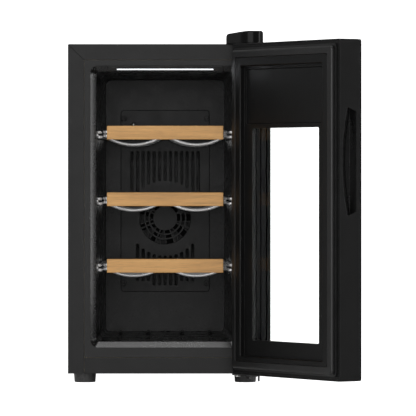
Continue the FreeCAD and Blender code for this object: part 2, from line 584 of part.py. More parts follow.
# ---- power supply: a board with its transformer, capacitors and coil, on the partition's lower left -------
BOARD_Y = PARTITION_BACK + 6
board = box(-96, -8, BOARD_Y, BOARD_Y + 1.6, BASE + 60, BASE + 130)
posts = [rod(3, V(x, PARTITION_BACK, z), V(x, BOARD_Y, z))
         for x in (-92, -12) for z in (BASE + 64, BASE + 126)]
save("power_board", board)
save("board_posts", Part.makeCompound(posts))
parts = [box(-62, -34, BOARD_Y + 1.6, BOARD_Y + 23, BASE + 80, BASE + 112)]
for x, z, r, tall in ((-82, 74, 6, 20), (-82, 92, 6, 20), (-22, 78, 4, 14), (-22, 94, 4, 14)):
    can = rod(r, V(x, BOARD_Y + 1.6, BASE + z), V(x, BOARD_Y + 1.6 + tall, BASE + z))
    parts.append(can)
coil = Part.makeTorus(7.5, 3.2, V(-82, BOARD_Y + 4.9, BASE + 116), Y_AXIS)
parts.append(coil)
fins = [box(-28 + 3.2 * n, -26.8 + 3.2 * n, BOARD_Y + 1.6, BOARD_Y + 20, BASE + 104, BASE + 126)
        for n in range(5)]
parts.append(fuse([box(-28, -13, BOARD_Y + 1.6, BOARD_Y + 4, BASE + 104, BASE + 126)] + fins))
save("power_components", Part.makeCompound(parts))

# ---- feet: tapered gloss pads, each on its own screw ------------------------------------------------------
FOOT_NAMES = ["foot_front_left", "foot_front_right", "foot_rear_left", "foot_rear_right"]
foot_screws = []
for name, (x, y) in zip(FOOT_NAMES, FEET):
    foot = Part.makeCone(FOOT_SOLE, FOOT_TOP, FOOT_HEIGHT, V(x, y, 0), Z_AXIS)
    foot = eased(foot, 1.2, lambda e: e.BoundBox.ZMax < 0.01)
    foot = foot.cut(rod(2.2, V(x, y, -1), V(x, y, FOOT_HEIGHT + 1)))
    foot = foot.cut(rod(4.4, V(x, y, -1), V(x, y, 6)))
    save(name, foot)
    head = rod(4.0, V(x, y, 3.4), V(x, y, 6))
    foot_screws.append(fuse([head, rod(2.0, V(x, y, 6), V(x, y, BASE + 8))]))
save("foot_screws", Part.makeCompound(foot_screws))


# ---- runners: two bent wires, one over the other, in a groove beside each shelf ---------------------------
def runner_loop(z, inner):
    """A long flat loop of wire at one level, from its inner leg out to the leg in the groove."""
    radius = (RUNNER_OUTER - inner) / 2
    middle = (RUNNER_OUTER + inner) / 2
    front, back = RUNNER_FRONT + radius, RUNNER_BACK - radius
    edges = [Part.LineSegment(V(inner, back, z), V(inner, front, z)).toShape(),
             Part.Arc(V(inner, front, z), V(middle, RUNNER_FRONT, z), V(RUNNER_OUTER, front, z)).toShape(),
             Part.LineSegment(V(RUNNER_OUTER, front, z), V(RUNNER_OUTER, back, z)).toShape(),
             Part.Arc(V(RUNNER_OUTER, back, z), V(middle, RUNNER_BACK, z), V(inner, back, z)).toShape()]
    circle = Part.Circle(V(inner, back, z), Y_AXIS, WIRE)
    return Part.Wire(edges).makePipeShell([Part.Wire([circle.toShape()])], True, True)


def runner(top, side):
    """The upper loop steadies the shelf and the lower one carries it; short posts join them at the ends."""
    made = [runner_loop(top - drop, inner) for drop, inner in RUNNERS]
    high, low = [top - drop for drop, _ in RUNNERS]
    for y in (RUNNER_FRONT + 3.4, RUNNER_BACK - 3.4):
        made.append(rod(WIRE * 0.9, V(RUNNER_OUTER - 0.2, y, low), V(RUNNER_OUTER - 0.2, y, high)))
    whole = fuse(made)
    return whole.mirror(V(0, 0, 0), X_AXIS) if side < 0 else whole


# ---- shelf: a wire frame with a dip for each bottle, and a wooden front rail ------------------------------
SHELF_FRONT = FRONT + 25.9
SHELF_BACK = BACK_WALL - 11
WAVE_WIRE = 2.0
WAVE_DIP = 12.0
HOLLOW_SHARE = 0.87
WOOD_HALF = 76.5
WOOD_TALL = 18.0
WOOD_THICK = 12.0
SCREW_X = 52.0
SCREW_DROP = 3.7
WAVES = [FRONT + 99 + 56 * n for n in range(5)]


def wave_wire(y, z):
    """A cross wire that dips under each bottle: a hollow on each side of a crest, on tangent arcs."""
    half = BOTTLE_PITCH / 2
    turn = 2 * math.atan(WAVE_DIP / half)
    hollow = half / math.sin(turn) * HOLLOW_SHARE
    crest = half / math.sin(turn) * (1 - HOLLOW_SHARE)
    edges = []

    def arc(centre_x, centre_z, radius, start, end):
        """Adds an arc between two angles, measured from straight up towards +X."""
        points = []
        for a in (start, (start + end) / 2, end):
            points.append(V(centre_x + radius * math.sin(a), y, centre_z + radius * math.cos(a)))
        edges.append(Part.Arc(*points).toShape())
        return points[0], points[2]

    hollow_z = z - WAVE_DIP + hollow
    first, _ = arc(-half, hollow_z, hollow, math.pi + turn, math.pi - turn)
    arc(0, z - crest, crest, -turn, turn)
    _, last = arc(half, hollow_z, hollow, math.pi + turn, math.pi - turn)
    tip = last + V(1, 0, math.tan(turn)) * (RAIL_X - last.x)
    edges.append(Part.LineSegment(last, tip).toShape())
    start = V(-tip.x, y, tip.z)
    edges.insert(0, Part.LineSegment(start, first).toShape())
    circle = Part.Circle(start, first - start, WAVE_WIRE)
    return Part.Wire(edges).makePipeShell([Part.Wire([circle.toShape()])], True, True)


def shelf(number, top):
    """One shelf: its wires, its wooden front and the two screws that hold the front on."""
    wires = []
    for drop in RAIL_DROPS:
        z = top - drop
        middle_back = V(0, SHELF_BACK, z)
        path = [middle_back, V(-RAIL_X, SHELF_BACK, z), V(-RAIL_X, SHELF_FRONT, z),
                V(RAIL_X, SHELF_FRONT, z), V(RAIL_X, SHELF_BACK, z), middle_back + V(0.02, 0, 0)]
        wires.append(swept(WIRE, path, {1: 4.5, 2: 4.5, 3: 4.5, 4: 4.5}))
    wires += [wave_wire(y, top - WAVE_DROP) for y in WAVES]
    for side in (-1, 1):
        for y in (WAVES[0], WAVES[-1]):
            x = side * RAIL_X
            wires.append(rod(WIRE * 0.9, V(x, y, top - RAIL_DROPS[1]), V(x, y, top - RAIL_DROPS[0])))
    for side in (-1, 1):
        x = side * SCREW_X
        tab = box(x - 7, x + 7, SHELF_FRONT - WIRE - 1.4, SHELF_FRONT - WIRE + 0.2, top - 16, top - 1)
        for drop in RAIL_DROPS:
            z = top - drop
            tab = tab.fuse(box(x - 7, x + 7, SHELF_FRONT - WIRE + 0.1, SHELF_FRONT - 0.4, z - 1, z + 1))
        hole_z = top - SCREW_DROP
        tab = tab.cut(rod(1.8, V(x, SHELF_FRONT - 8, hole_z), V(x, SHELF_FRONT + 8, hole_z)))
        wires.append(tab)
    save("shelf_%d_wires" % number, fuse(wires))
    wood_back = SHELF_FRONT - WIRE - 1.4
    wood = box(-WOOD_HALF, WOOD_HALF, wood_back - WOOD_THICK, wood_back, top - WOOD_TALL, top)
    wood = eased(wood, 0.9, lambda e: True)
    screw_z = top - SCREW_DROP
    pilot = [rod(1.3, V(x, wood_back - 8, screw_z), V(x, wood_back + 1, screw_z))
             for x in (-SCREW_X, SCREW_X)]
    save("shelf_%d_front" % number, cut(wood, pilot))
    held = []
    under = wood_back + 1.6
    for x in (-SCREW_X, SCREW_X):
        shank = rod(1.25, V(x, wood_back - 7.5, screw_z), V(x, under, screw_z))
        head = rod(2.2, V(x, under, screw_z), V(x, under + 1.8, screw_z))
        head = eased(head, 0.8, lambda e: e.BoundBox.YMin > under + 1.79)
        held.append(fuse([shank, head]))
    save("shelf_%d_screws" % number, Part.makeCompound(held))


save("shelf_runners", Part.makeCompound([runner(top, side) for top in SHELVES for side in (-1, 1)]))
for number, top in enumerate(SHELVES, 1):
    shelf(number, top)

# ---- top hinge: a steel strap on the shell with a pin down into the door, under a plastic cover -----------
PIN = 3.0
strap_z = TOP + 0.02
strap = box(86, 124, FRONT + 4, FRONT + 36, strap_z, strap_z + 2)
strap = strap.fuse(box(HINGE_X - 9, HINGE_X + 9, HINGE_Y, FRONT + 5, strap_z, strap_z + 2))
strap = fuse([strap, rod(9, V(HINGE_X, HINGE_Y, strap_z), V(HINGE_X, HINGE_Y, strap_z + 2))])
strap = fuse([strap, rod(PIN, V(HINGE_X, HINGE_Y, TOP - 13), V(HINGE_X, HINGE_Y, strap_z + 1))])
strap = cut(strap, [rod(2.2, V(x, y, strap_z - 1), V(x, y, strap_z + 3)) for x, y in TOP_SCREWS])
save("top_hinge_bracket", strap)
hinge_screws = []
for x, y in TOP_SCREWS:
    pan = rod(4.0, V(x, y, strap_z + 2), V(x, y, strap_z + 4.4))
    pan = eased(pan, 1.2, lambda e: e.BoundBox.ZMin > strap_z + 4.3)
    hinge_screws.append(fuse([pan, rod(2.0, V(x, y, TOP - 8), V(x, y, strap_z + 2))]))
COVER_TALL = 16.0
COVER_LEFT = 80.5
COVER_LONG = 44.0
NOSE = 16.0


def hinge_cover_plan(inset, z0, z1):
    """The cover from above, taken in by inset: a block on the shell and a round nose over the pin."""
    nose = NOSE - inset
    left = COVER_LEFT + inset
    right = HINGE_X + nose
    block = box(left, right, FRONT + inset, FRONT + COVER_LONG - inset, z0, z1)
    corner = V(left, FRONT + inset, z0)
    pin = V(HINGE_X, HINGE_Y, z0)
    away = corner - pin
    turn = math.atan2(away.y, away.x) + math.acos(nose / away.Length)
    touch = pin + V(math.cos(turn), math.sin(turn), 0) * nose
    flank = [corner, touch, pin, V(right, HINGE_Y, z0), V(right, FRONT + COVER_LONG / 2, z0),
             V(left, FRONT + COVER_LONG / 2, z0), corner]
    neck = Part.Face(Part.makePolygon(flank)).extrude(V(0, 0, z1 - z0))
    return fuse([block, neck, rod(nose, pin, pin + V(0, 0, z1 - z0))])


def hinge_cover_profile(inset):
    """The cover from the front: flat over the pin, then sloping down to a lower left end."""
    left = COVER_LEFT + inset
    right = HINGE_X + NOSE - inset
    high = TOP + COVER_TALL - inset
    low = high - 2.6
    foot = TOP - 1
    points = [V(left, 0, foot), V(left, 0, low - 3.4), V(left + 3.2, 0, low), V(HINGE_X - 4, 0, high),
              V(right - 3.4, 0, high), V(right, 0, high - 3.4), V(right, 0, foot)]
    edges = [Part.LineSegment(points[0], points[1]).toShape(),
             Part.Arc(points[1], V(left + 0.9, 0, low - 0.9), points[2]).toShape(),
             Part.LineSegment(points[2], points[3]).toShape(),
             Part.LineSegment(points[3], points[4]).toShape(),
             Part.Arc(points[4], V(right - 1.0, 0, high - 1.0), points[5]).toShape(),
             Part.LineSegment(points[5], points[6]).toShape(),
             Part.LineSegment(points[6], points[0]).toShape()]
    prism = Part.Face(Part.Wire(edges)).extrude(V(0, 120, 0))
    return prism.translated(V(0, FRONT - 60, 0))


hood = hinge_cover_plan(0, TOP + 0.3, TOP + COVER_TALL + 1)
hood = hood.common(hinge_cover_profile(0))
inside = hinge_cover_plan(1.8, TOP - 1, TOP + COVER_TALL)
hood = hood.cut(inside.common(hinge_cover_profile(1.8)))
save("top_hinge_cover", hood)

# ---- bottom hinge: a strap under the base with a pin up into the door -------------------------------------
low_z = BASE - 2.1
strap = box(88, 124, FRONT + 1, FRONT + 20, low_z, low_z + 2)
strap = strap.fuse(box(HINGE_X - 9, HINGE_X + 9, HINGE_Y, FRONT + 2, low_z, low_z + 2))
strap = fuse([strap, rod(9, V(HINGE_X, HINGE_Y, low_z), V(HINGE_X, HINGE_Y, low_z + 2))])
strap = fuse([strap, rod(PIN, V(HINGE_X, HINGE_Y, low_z + 1), V(HINGE_X, HINGE_Y, BASE + 13))])
nut = Part.makePolygon([V(HINGE_X + 5.2 * math.cos(math.radians(60 * n)), HINGE_Y
                          + 5.2 * math.sin(math.radians(60 * n)), low_z - 3.6) for n in range(7)])
nut = Part.Face(nut).extrude(V(0, 0, 3.6))
stop = box(121.6, 124.0, FRONT + 1, FRONT + 9, low_z - 8, low_z + 1)
strap = fuse([strap, nut, stop])
strap = cut(strap, [rod(2.2, V(x, y, low_z - 1), V(x, y, low_z + 3)) for x, y in LOW_SCREWS])
save("bottom_hinge_bracket", strap)
for x, y in LOW_SCREWS:
    pan = rod(4.0, V(x, y, low_z - 2.4), V(x, y, low_z))
    hinge_screws.append(fuse([pan, rod(2.0, V(x, y, low_z - 1), V(x, y, BASE + 9))]))
save("hinge_screws", Part.makeCompound(hinge_screws))

# ---- door, built closed -----------------------------------------------------------------------------------
DOOR_BOTTOM = BASE + 0.4
DOOR_TOP = TOP - 0.6
GLASS = 3.2
PRINT = 0.3
WINDOW_HALF = 80.5
WINDOW_BOTTOM = 57.5
WINDOW_TOP = 334.7
DISPLAY_Z = 378.0
frame_front = DOOR_OUT + GLASS + PRINT
WALL = 2.5


def door_save(name, shape):
    """Turns a door part about the hinge pins to the angle at which the door stands, and writes it."""
    turned = shape.copy()
    turned.rotate(V(HINGE_X, HINGE_Y, 0), Z_AXIS, DOOR_OPEN_ANGLE)
    save(name, turned)


def inset_plate(margin, radius):
    """The door's outline taken in by margin, as slab() wants it."""
    return (-HALF + margin, HALF - margin, DOOR_BOTTOM + margin, DOOR_TOP - margin, radius)


def on_outline(edge, margin):
    """True for an edge that lies on the door's outline taken in by margin."""
    here = edge.BoundBox
    across = abs(max(abs(here.XMin), abs(here.XMax)) - (HALF - margin)) < 0.05
    above = abs(here.ZMax - (DOOR_TOP - margin)) < 0.05
    below = abs(here.ZMin - (DOOR_BOTTOM + margin)) < 0.05
    return across or above or below


def around_window(grow, radius):
    """The window's outline grown by grow."""
    return (-WINDOW_HALF - grow, WINDOW_HALF + grow, WINDOW_BOTTOM - grow, WINDOW_TOP + grow, radius)


glass = slab(*inset_plate(0.5, 3), DOOR_OUT, DOOR_OUT + GLASS)
glass = eased(glass, 0.5, lambda e: e.BoundBox.YMax < DOOR_OUT + 0.01)
door_save("door_glass_outer", glass)

# frame: a moulded tray behind the glass, its rim showing all round the door's edge
tray = slab(*inset_plate(0, 4), frame_front, DOOR_IN)
tray = eased(tray, 0.8, lambda e: e.BoundBox.YMin > DOOR_IN - 0.01)
tray = tray.cut(slab(*inset_plate(WALL, 2), frame_front + WALL, DOOR_IN + 1))
well = slab(*around_window(8.5, 3), frame_front + WALL - 1, DOOR_IN - 6)
tray = tray.fuse(well)
tray = tray.cut(slab(*around_window(6.2, 2), frame_front - 1, DOOR_IN + 1))
tray = tray.cut(slab(-62, 62, 352, 404, 3, frame_front - 1, frame_front + WALL + 1))
for z0, z1 in ((DOOR_TOP - 22, DOOR_TOP - 1), (DOOR_BOTTOM + 1, DOOR_BOTTOM + 22)):
    tray = tray.fuse(box(HINGE_X - 9.5, HALF - 1, frame_front + 1, DOOR_IN - 6, z0, z1))
BUSH = 6.0
for z0, z1 in ((DOOR_TOP - 17, DOOR_TOP + 1), (DOOR_BOTTOM - 1, DOOR_BOTTOM + 17)):
    tray = tray.cut(rod(BUSH, V(HINGE_X, HINGE_Y, z0), V(HINGE_X, HINGE_Y, z1)))
tray = tray.removeSplitter()

# grip: a scooped finger pocket in the door's free edge, shallow by the cabinet and deep behind the glass
GRIP_Z = 289.5
GRIP_HALF = 68.0
GRIP_WALL = DOOR_IN - 25.0
GRIP_EDGE = DOOR_IN - 9.6
GRIP_BULGE = DOOR_IN - 1.7
GRIP_DEEP = 16.0
outline = Part.Wire([
    Part.Arc(V(-HALF - 2, GRIP_EDGE, GRIP_Z - GRIP_HALF), V(-HALF - 2, GRIP_BULGE, GRIP_Z),
             V(-HALF - 2, GRIP_EDGE, GRIP_Z + GRIP_HALF)).toShape(),
    Part.LineSegment(V(-HALF - 2, GRIP_EDGE, GRIP_Z + GRIP_HALF),
                     V(-HALF - 2, GRIP_WALL, GRIP_Z + GRIP_HALF - 6)).toShape(),
    Part.LineSegment(V(-HALF - 2, GRIP_WALL, GRIP_Z + GRIP_HALF - 6),
                     V(-HALF - 2, GRIP_WALL, GRIP_Z - GRIP_HALF + 6)).toShape(),
    Part.LineSegment(V(-HALF - 2, GRIP_WALL, GRIP_Z - GRIP_HALF + 6),
                     V(-HALF - 2, GRIP_EDGE, GRIP_Z - GRIP_HALF)).toShape(),
])
scoop = Part.Face(outline).extrude(V(GRIP_DEEP + 2, -17, 0))
scoop = scoop.common(box(-HALF - 3, 0, GRIP_WALL, DOOR_IN, 0, TOP))
tray = tray.cut(scoop)
tray = eased(tray, 0.7, lambda e: e.BoundBox.XMax < -HALF + 0.01 and GRIP_WALL - 0.1 < e.BoundBox.YMin
             and e.BoundBox.YMax < DOOR_IN - 1 and abs(e.BoundBox.ZMin - GRIP_Z) < GRIP_HALF + 1)
door_save("door_frame", tray)
cup = box(-HALF + WALL, -HALF + GRIP_DEEP + 2.5, frame_front + WALL, DOOR_IN - 3, GRIP_Z - 76, GRIP_Z + 76)
cup = eased(cup, 2.0, lambda e: runs_along(e, Y_AXIS)
            or (runs_along(e, Z_AXIS) and e.BoundBox.XMin > -HALF + 5))
cup = cup.cut(scoop)
door_save("door_grip", cup)

# bezel: the inner face of the door, with a hollow ridge inside the gasket and a lip round the window
RIDGE = 7.2
bezel = slab(*inset_plate(WALL + 0.3, 2), DOOR_IN - 2.2, DOOR_IN)
bezel_inner = (-HALF + 30, HALF - 30, DOOR_BOTTOM + 25.1, DOOR_TOP - 29.9, 2)
ridge_outer = (-HALF + 18.5, HALF - 18.5, DOOR_BOTTOM + 18.5, DOOR_TOP - 18.5, 5)
ridge = slab(*ridge_outer, DOOR_IN - 1, DOOR_IN + RIDGE)
ridge = ridge.cut(slab(*bezel_inner, DOOR_IN - 3, DOOR_IN + RIDGE + 1))
ridge = eased(ridge, 0.5, lambda e: e.BoundBox.YMin > DOOR_IN + RIDGE - 0.01 and on_outline(e, 18.5))
ridge = eased(ridge, 1.6, lambda e: e.BoundBox.YMin > DOOR_IN + RIDGE - 0.01 and not on_outline(e, 18.5)
              and not on_outline(e, 19.0))
bezel = bezel.fuse(ridge)
bezel = bezel.cut(slab(*around_window(-1.5, 2), DOOR_IN - 5, DOOR_IN + 1))
control_hole = (-HALF + 34, HALF - 34, WINDOW_TOP + 4, DOOR_TOP - 34, 3)
bezel = bezel.cut(slab(*control_hole, DOOR_IN - 5, DOOR_IN + 1))
lip = ring(around_window(1.5, 2), around_window(-1.5, 2), DOOR_IN - 5, DOOR_IN - 2)
bezel = bezel.fuse(lip)
hollow_outer = (ridge_outer[0] + 2, ridge_outer[1] - 2, ridge_outer[2] + 2, ridge_outer[3] - 2, 3)
hollow_inner = (bezel_inner[0] - 2, bezel_inner[1] + 2, bezel_inner[2] - 2, bezel_inner[3] + 2, 3)
bezel = bezel.cut(ring(hollow_outer, hollow_inner, DOOR_IN - 3, DOOR_IN + RIDGE - 2))
groove_seat = ring(inset_plate(9.5, 4), inset_plate(13.5, 3), DOOR_IN - 1.4, DOOR_IN + 1)
bezel = bezel.cut(groove_seat)
door_save("door_bezel", bezel.removeSplitter())

# gasket: a soft magnetic seal round the door, its root pressed into the bezel's groove
SEAL = DOOR_GAP - 0.4
seal_base = ring(inset_plate(6.0, 5), inset_plate(18.2, 3), DOOR_IN + 0.02, DOOR_IN + 2.4)
seal_neck = ring(inset_plate(9.6, 4), inset_plate(16.6, 3), DOOR_IN + 2.0, DOOR_IN + 4.2)
seal_head = ring(inset_plate(8.6, 5), inset_plate(18.2, 3), DOOR_IN + 3.8, DOOR_IN + SEAL)
seal_face = DOOR_IN + SEAL - 0.01
seal_head = eased(seal_head, 3.0, lambda e: e.BoundBox.YMin > seal_face and on_outline(e, 8.6))
seal_head = eased(seal_head, 0.5, lambda e: e.BoundBox.YMin > seal_face and on_outline(e, 18.2))
seal_root = ring(inset_plate(10.0, 4), inset_plate(13.0, 3), DOOR_IN - 1.3, DOOR_IN + 1)
seal = fuse([seal_base, seal_neck, seal_head, seal_root])
magnet_path = (inset_plate(10.6, 3), inset_plate(15.8, 3))
seal = seal.cut(ring(*magnet_path, DOOR_IN + 4.6, DOOR_IN + SEAL - 0.8))
door_save("door_gasket", seal)
magnets = []
strip_y = (DOOR_IN + 4.8, DOOR_IN + SEAL - 1.0)
for side in (-1, 1):
    x0, x1 = sorted((side * (HALF - 10.9), side * (HALF - 15.5)))
    magnets.append(box(x0, x1, *strip_y, DOOR_BOTTOM + 20, DOOR_TOP - 20))
for z0 in (DOOR_BOTTOM + 10.9, DOOR_TOP - 15.5):
    magnets.append(box(-HALF + 20, HALF - 20, *strip_y, z0, z0 + 4.6))
door_save("gasket_magnets", Part.makeCompound(magnets))

# inner pane and the spacer that keeps the two panes apart
pane_back = DOOR_IN - 5.0
pane = slab(*around_window(5.8, 2), pane_back - 3, pane_back)
door_save("door_glass_inner", pane)
spacer = ring(around_window(5.8, 2), around_window(0, 2), frame_front + 0.02, pane_back - 3.02)
bands = []
for y in (pane_back - 8.6, pane_back - 17.4):
    bands.append(ring(around_window(2.2, 2), around_window(-1, 2), y - 2.0, y))
spacer = cut(spacer, bands)
door_save("glass_spacer", spacer)

# control panel: cover on the inner face, board, display and touch pads behind the glass
cover_plate = (control_hole[0] + 0.4, control_hole[1] - 0.4, control_hole[2] + 0.4, control_hole[3] - 0.4, 3)
control = slab(*cover_plate, DOOR_IN - 2.4, DOOR_IN - 0.6)
control = eased(control, 0.7, lambda e: e.BoundBox.YMin > DOOR_IN - 0.61)
door_save("control_cover", control)
board_front = frame_front + 4.4
panel_board = box(-58, 58, board_front, board_front + 1.6, 355, 401)
pads = [rod(5.0, V(x, frame_front + 0.4, DISPLAY_Z), V(x, board_front, DISPLAY_Z))
        for x in (-46, -30, 30, 46)]
chips = [box(-20, -8, board_front + 1.6, board_front + 3.4, 362, 372),
         box(6, 18, board_front + 1.6, board_front + 3.0, 384, 394)]
door_save("control_board", fuse([panel_board] + chips))
door_save("touch_pads", Part.makeCompound(pads))
screen = box(-14.5, 14.5, frame_front + 0.3, board_front, DISPLAY_Z - 6.5, DISPLAY_Z + 6.5)
door_save("display_module", screen)

# bushes that turn on the hinge pins
bushes = []
for z0, z1, rim_z in ((DOOR_TOP - 16.5, DOOR_TOP, DOOR_TOP), (DOOR_BOTTOM, DOOR_BOTTOM + 16.5, DOOR_BOTTOM)):
    bush = rod(BUSH - 0.02, V(HINGE_X, HINGE_Y, z0), V(HINGE_X, HINGE_Y, z1))
    bore_start = z0 + (2 if rim_z == z1 else -1)
    bush = bush.cut(rod(PIN + 0.05, V(HINGE_X, HINGE_Y, bore_start), V(HINGE_X, HINGE_Y, bore_start + 15.5)))
    bushes.append(bush)
door_save("door_bushes", Part.makeCompound(bushes))
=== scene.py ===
# A small thermoelectric wine cabinet for eight bottles, with its glazed door standing open: a painted
# steel cabinet round a glossy black tub, three chrome wire shelves with oak fronts, a lamp over the
# mouth, a slotted fan cover on the back wall, and a door of black glass and moulded plastic. Metres,
# front towards -Y, up +Z.
import math

import bpy
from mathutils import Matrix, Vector


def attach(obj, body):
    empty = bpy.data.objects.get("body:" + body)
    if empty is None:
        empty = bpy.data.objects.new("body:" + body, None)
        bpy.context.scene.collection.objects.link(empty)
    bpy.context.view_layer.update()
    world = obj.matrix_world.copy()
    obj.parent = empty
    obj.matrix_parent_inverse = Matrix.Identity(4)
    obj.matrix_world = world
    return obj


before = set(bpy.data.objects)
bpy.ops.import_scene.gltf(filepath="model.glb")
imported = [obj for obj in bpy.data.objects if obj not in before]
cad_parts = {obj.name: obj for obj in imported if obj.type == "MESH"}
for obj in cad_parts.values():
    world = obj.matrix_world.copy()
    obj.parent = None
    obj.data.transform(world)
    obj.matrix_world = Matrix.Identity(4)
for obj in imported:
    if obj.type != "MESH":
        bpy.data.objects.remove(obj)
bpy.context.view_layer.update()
bpy.ops.object.select_all(action="DESELECT")

# ---- cabinet shell and base plate ----------------------------------------------------------------
# One folded steel sheet makes the sides and top, and a second the base with its turned-up front lip. Both
# have a charcoal powder coat with a fine satin grain, painted a little paler along the folds: partly
# rubbed wear, partly a painted highlight.


def add(tree, kind, values=None, **settings):
    """Adds a node; values are for its inputs, settings for its own properties."""
    made = tree.nodes.new(kind)
    for name, value in settings.items():
        setattr(made, name, value)
    for name, value in (values or {}).items():
        made.inputs[name].default_value = value
    return made


def join(tree, *pairs):
    """Links outputs to inputs, each pair as (node, output name, node, input name)."""
    for source, output, target, place in pairs:
        tree.links.new(source.outputs[output], target.inputs[place])


def new_group(name, inputs, outputs):
    """A node group with named sockets; each is (name, socket type, default)."""
    group = bpy.data.node_groups.new(name, "ShaderNodeTree")
    for way, sockets in (("INPUT", inputs), ("OUTPUT", outputs)):
        for label, kind, *start in sockets:
            socket = group.interface.new_socket(name=label, in_out=way, socket_type="NodeSocket" + kind)
            if start:
                socket.default_value = start[0]
    return group, group.nodes.new("NodeGroupInput"), group.nodes.new("NodeGroupOutput")


def build_coat_group():
    """A coated or moulded skin: broad tone drift, a fine raised grain, and soft edges paled in patches,
    partly as rubbed wear and partly as a painted highlight.
    """
    group, given, result = new_group("moulded_or_painted_skin",
                                     [("Colour", "Color", (0.03, 0.03, 0.03, 1)),
                                      ("Tone Drift", "Float", 0.15), ("Roughness", "Float", 0.4),
                                      ("Roughness Drift", "Float", 0.08),
                                      ("Grain Scale", "Float", 1500.0), ("Grain Depth", "Float", 0.00002),
                                      ("Edge Radius", "Float", 0.0006), ("Rub", "Float", 0.2)],
                                     [("Colour", "Color"), ("Roughness", "Float"), ("Normal", "Vector")])
    place = add(group, "ShaderNodeTexCoord")
    grain = add(group, "ShaderNodeTexNoise", {"Detail": 3.0, "Roughness": 0.6})
    broad = add(group, "ShaderNodeTexNoise", {"Scale": 14.0, "Detail": 6.0, "Roughness": 0.62})
    smear = add(group, "ShaderNodeTexNoise", {"Scale": 46.0, "Detail": 4.0, "Roughness": 0.7})
    drift = add(group, "ShaderNodeMapRange",
                {"From Min": 0.32, "From Max": 0.68, "To Min": -1.0, "To Max": 1.0})
    smears = add(group, "ShaderNodeMapRange",
                 {"From Min": 0.3, "From Max": 0.7, "To Min": -1.0, "To Max": 1.0})
    join(group, (place, "Object", grain, "Vector"), (given, "Grain Scale", grain, "Scale"),
         (place, "Object", broad, "Vector"), (place, "Object", smear, "Vector"),
         (broad, "Fac", drift, "Value"), (smear, "Fac", smears, "Value"))
    tone = add(group, "ShaderNodeMath", operation="MULTIPLY")
    gain = add(group, "ShaderNodeMath", {1: 1.0}, operation="ADD")
    tinted = add(group, "ShaderNodeVectorMath", operation="SCALE")
    join(group, (drift, "Result", tone, 0), (given, "Tone Drift", tone, 1), (tone, 0, gain, 0),
         (given, "Colour", tinted, 0), (gain, 0, tinted, "Scale"))
    soft = add(group, "ShaderNodeBevel", samples=4)
    flat = add(group, "ShaderNodeNewGeometry")
    agree = add(group, "ShaderNodeVectorMath", operation="DOT_PRODUCT")
    edge = add(group, "ShaderNodeMapRange",
               {"From Min": 0.985, "From Max": 0.80, "To Min": 0.0, "To Max": 1.0})
    # Edges, where the rounded shading turns away from the true normal, are mixed towards pale grey in
    # patches: partly rubbed wear, partly a painted highlight along the edges.
    worn_and_highlit = add(group, "ShaderNodeMath", operation="MULTIPLY")
    patchy = add(group, "ShaderNodeMapRange", {"From Min": 0.40, "From Max": 0.62})
    rub_and_highlight_mask = add(group, "ShaderNodeMath", operation="MULTIPLY")
    join(group, (given, "Edge Radius", soft, "Radius"), (soft, "Normal", agree, 0),
         (flat, "True Normal", agree, 1), (agree, "Value", edge, "Value"),
         (smear, "Fac", patchy, "Value"), (edge, "Result", worn_and_highlit, 0), (patchy, "Result", worn_and_highlit, 1),
         (worn_and_highlit, 0, rub_and_highlight_mask, 0), (given, "Rub", rub_and_highlight_mask, 1))
    pale = add(group, "ShaderNodeMix", {"B": (0.30, 0.30, 0.30, 1)}, data_type="RGBA")
    join(group, (rub_and_highlight_mask, 0, pale, "Factor"), (tinted, "Vector", pale, "A"),
         (pale, "Result", result, "Colour"))
    spread = add(group, "ShaderNodeMath", operation="MULTIPLY")
    rough = add(group, "ShaderNodeMath", operation="ADD", use_clamp=True)
    join(group, (smears, "Result", spread, 0), (given, "Roughness Drift", spread, 1),
         (spread, 0, rough, 0), (given, "Roughness", rough, 1), (rough, 0, result, "Roughness"))
    bump = add(group, "ShaderNodeBump", {"Strength": 1.0})
    join(group, (given, "Grain Depth", bump, "Distance"), (grain, "Fac", bump, "Height"),
         (soft, "Normal", bump, "Normal"), (bump, "Normal", result, "Normal"))
    return group


coat_group = build_coat_group()


def coated(name, colour, roughness, metallic=0.0, shine=0.5, **values):
    """A material with the coated skin; shine is its specular level, values are more of its inputs."""
    material = bpy.data.materials.new(name)
    material.use_nodes = True
    tree = material.node_tree
    shader = tree.nodes["Principled BSDF"]
    shader.inputs["Metallic"].default_value = metallic
    shader.inputs["Specular IOR Level"].default_value = shine
    skin = add(tree, "ShaderNodeGroup", node_tree=coat_group)
    skin.inputs["Colour"].default_value = (*colour, 1)
    skin.inputs["Roughness"].default_value = roughness
    for label, value in values.items():
        skin.inputs[label.replace("_", " ").title()].default_value = value
    join(tree, (skin, "Colour", shader, "Base Color"), (skin, "Roughness", shader, "Roughness"),
         (skin, "Normal", shader, "Normal"))
    return material


def dress(material, *names):
    """Gives CAD nodes a material in place of their plain one."""
    for name in names:
        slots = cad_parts[name].data.materials
        slots.clear()
        slots.append(material)


charcoal = coated("charcoal_powder_coat", (0.0185, 0.0185, 0.0185), 0.50, shine=0.25, tone_drift=0.05,
                  roughness_drift=0.05, grain_scale=1700.0, grain_depth=0.00004, edge_radius=0.0007,
                  rub=0.12)
dress(charcoal, "outer_shell", "base_plate")

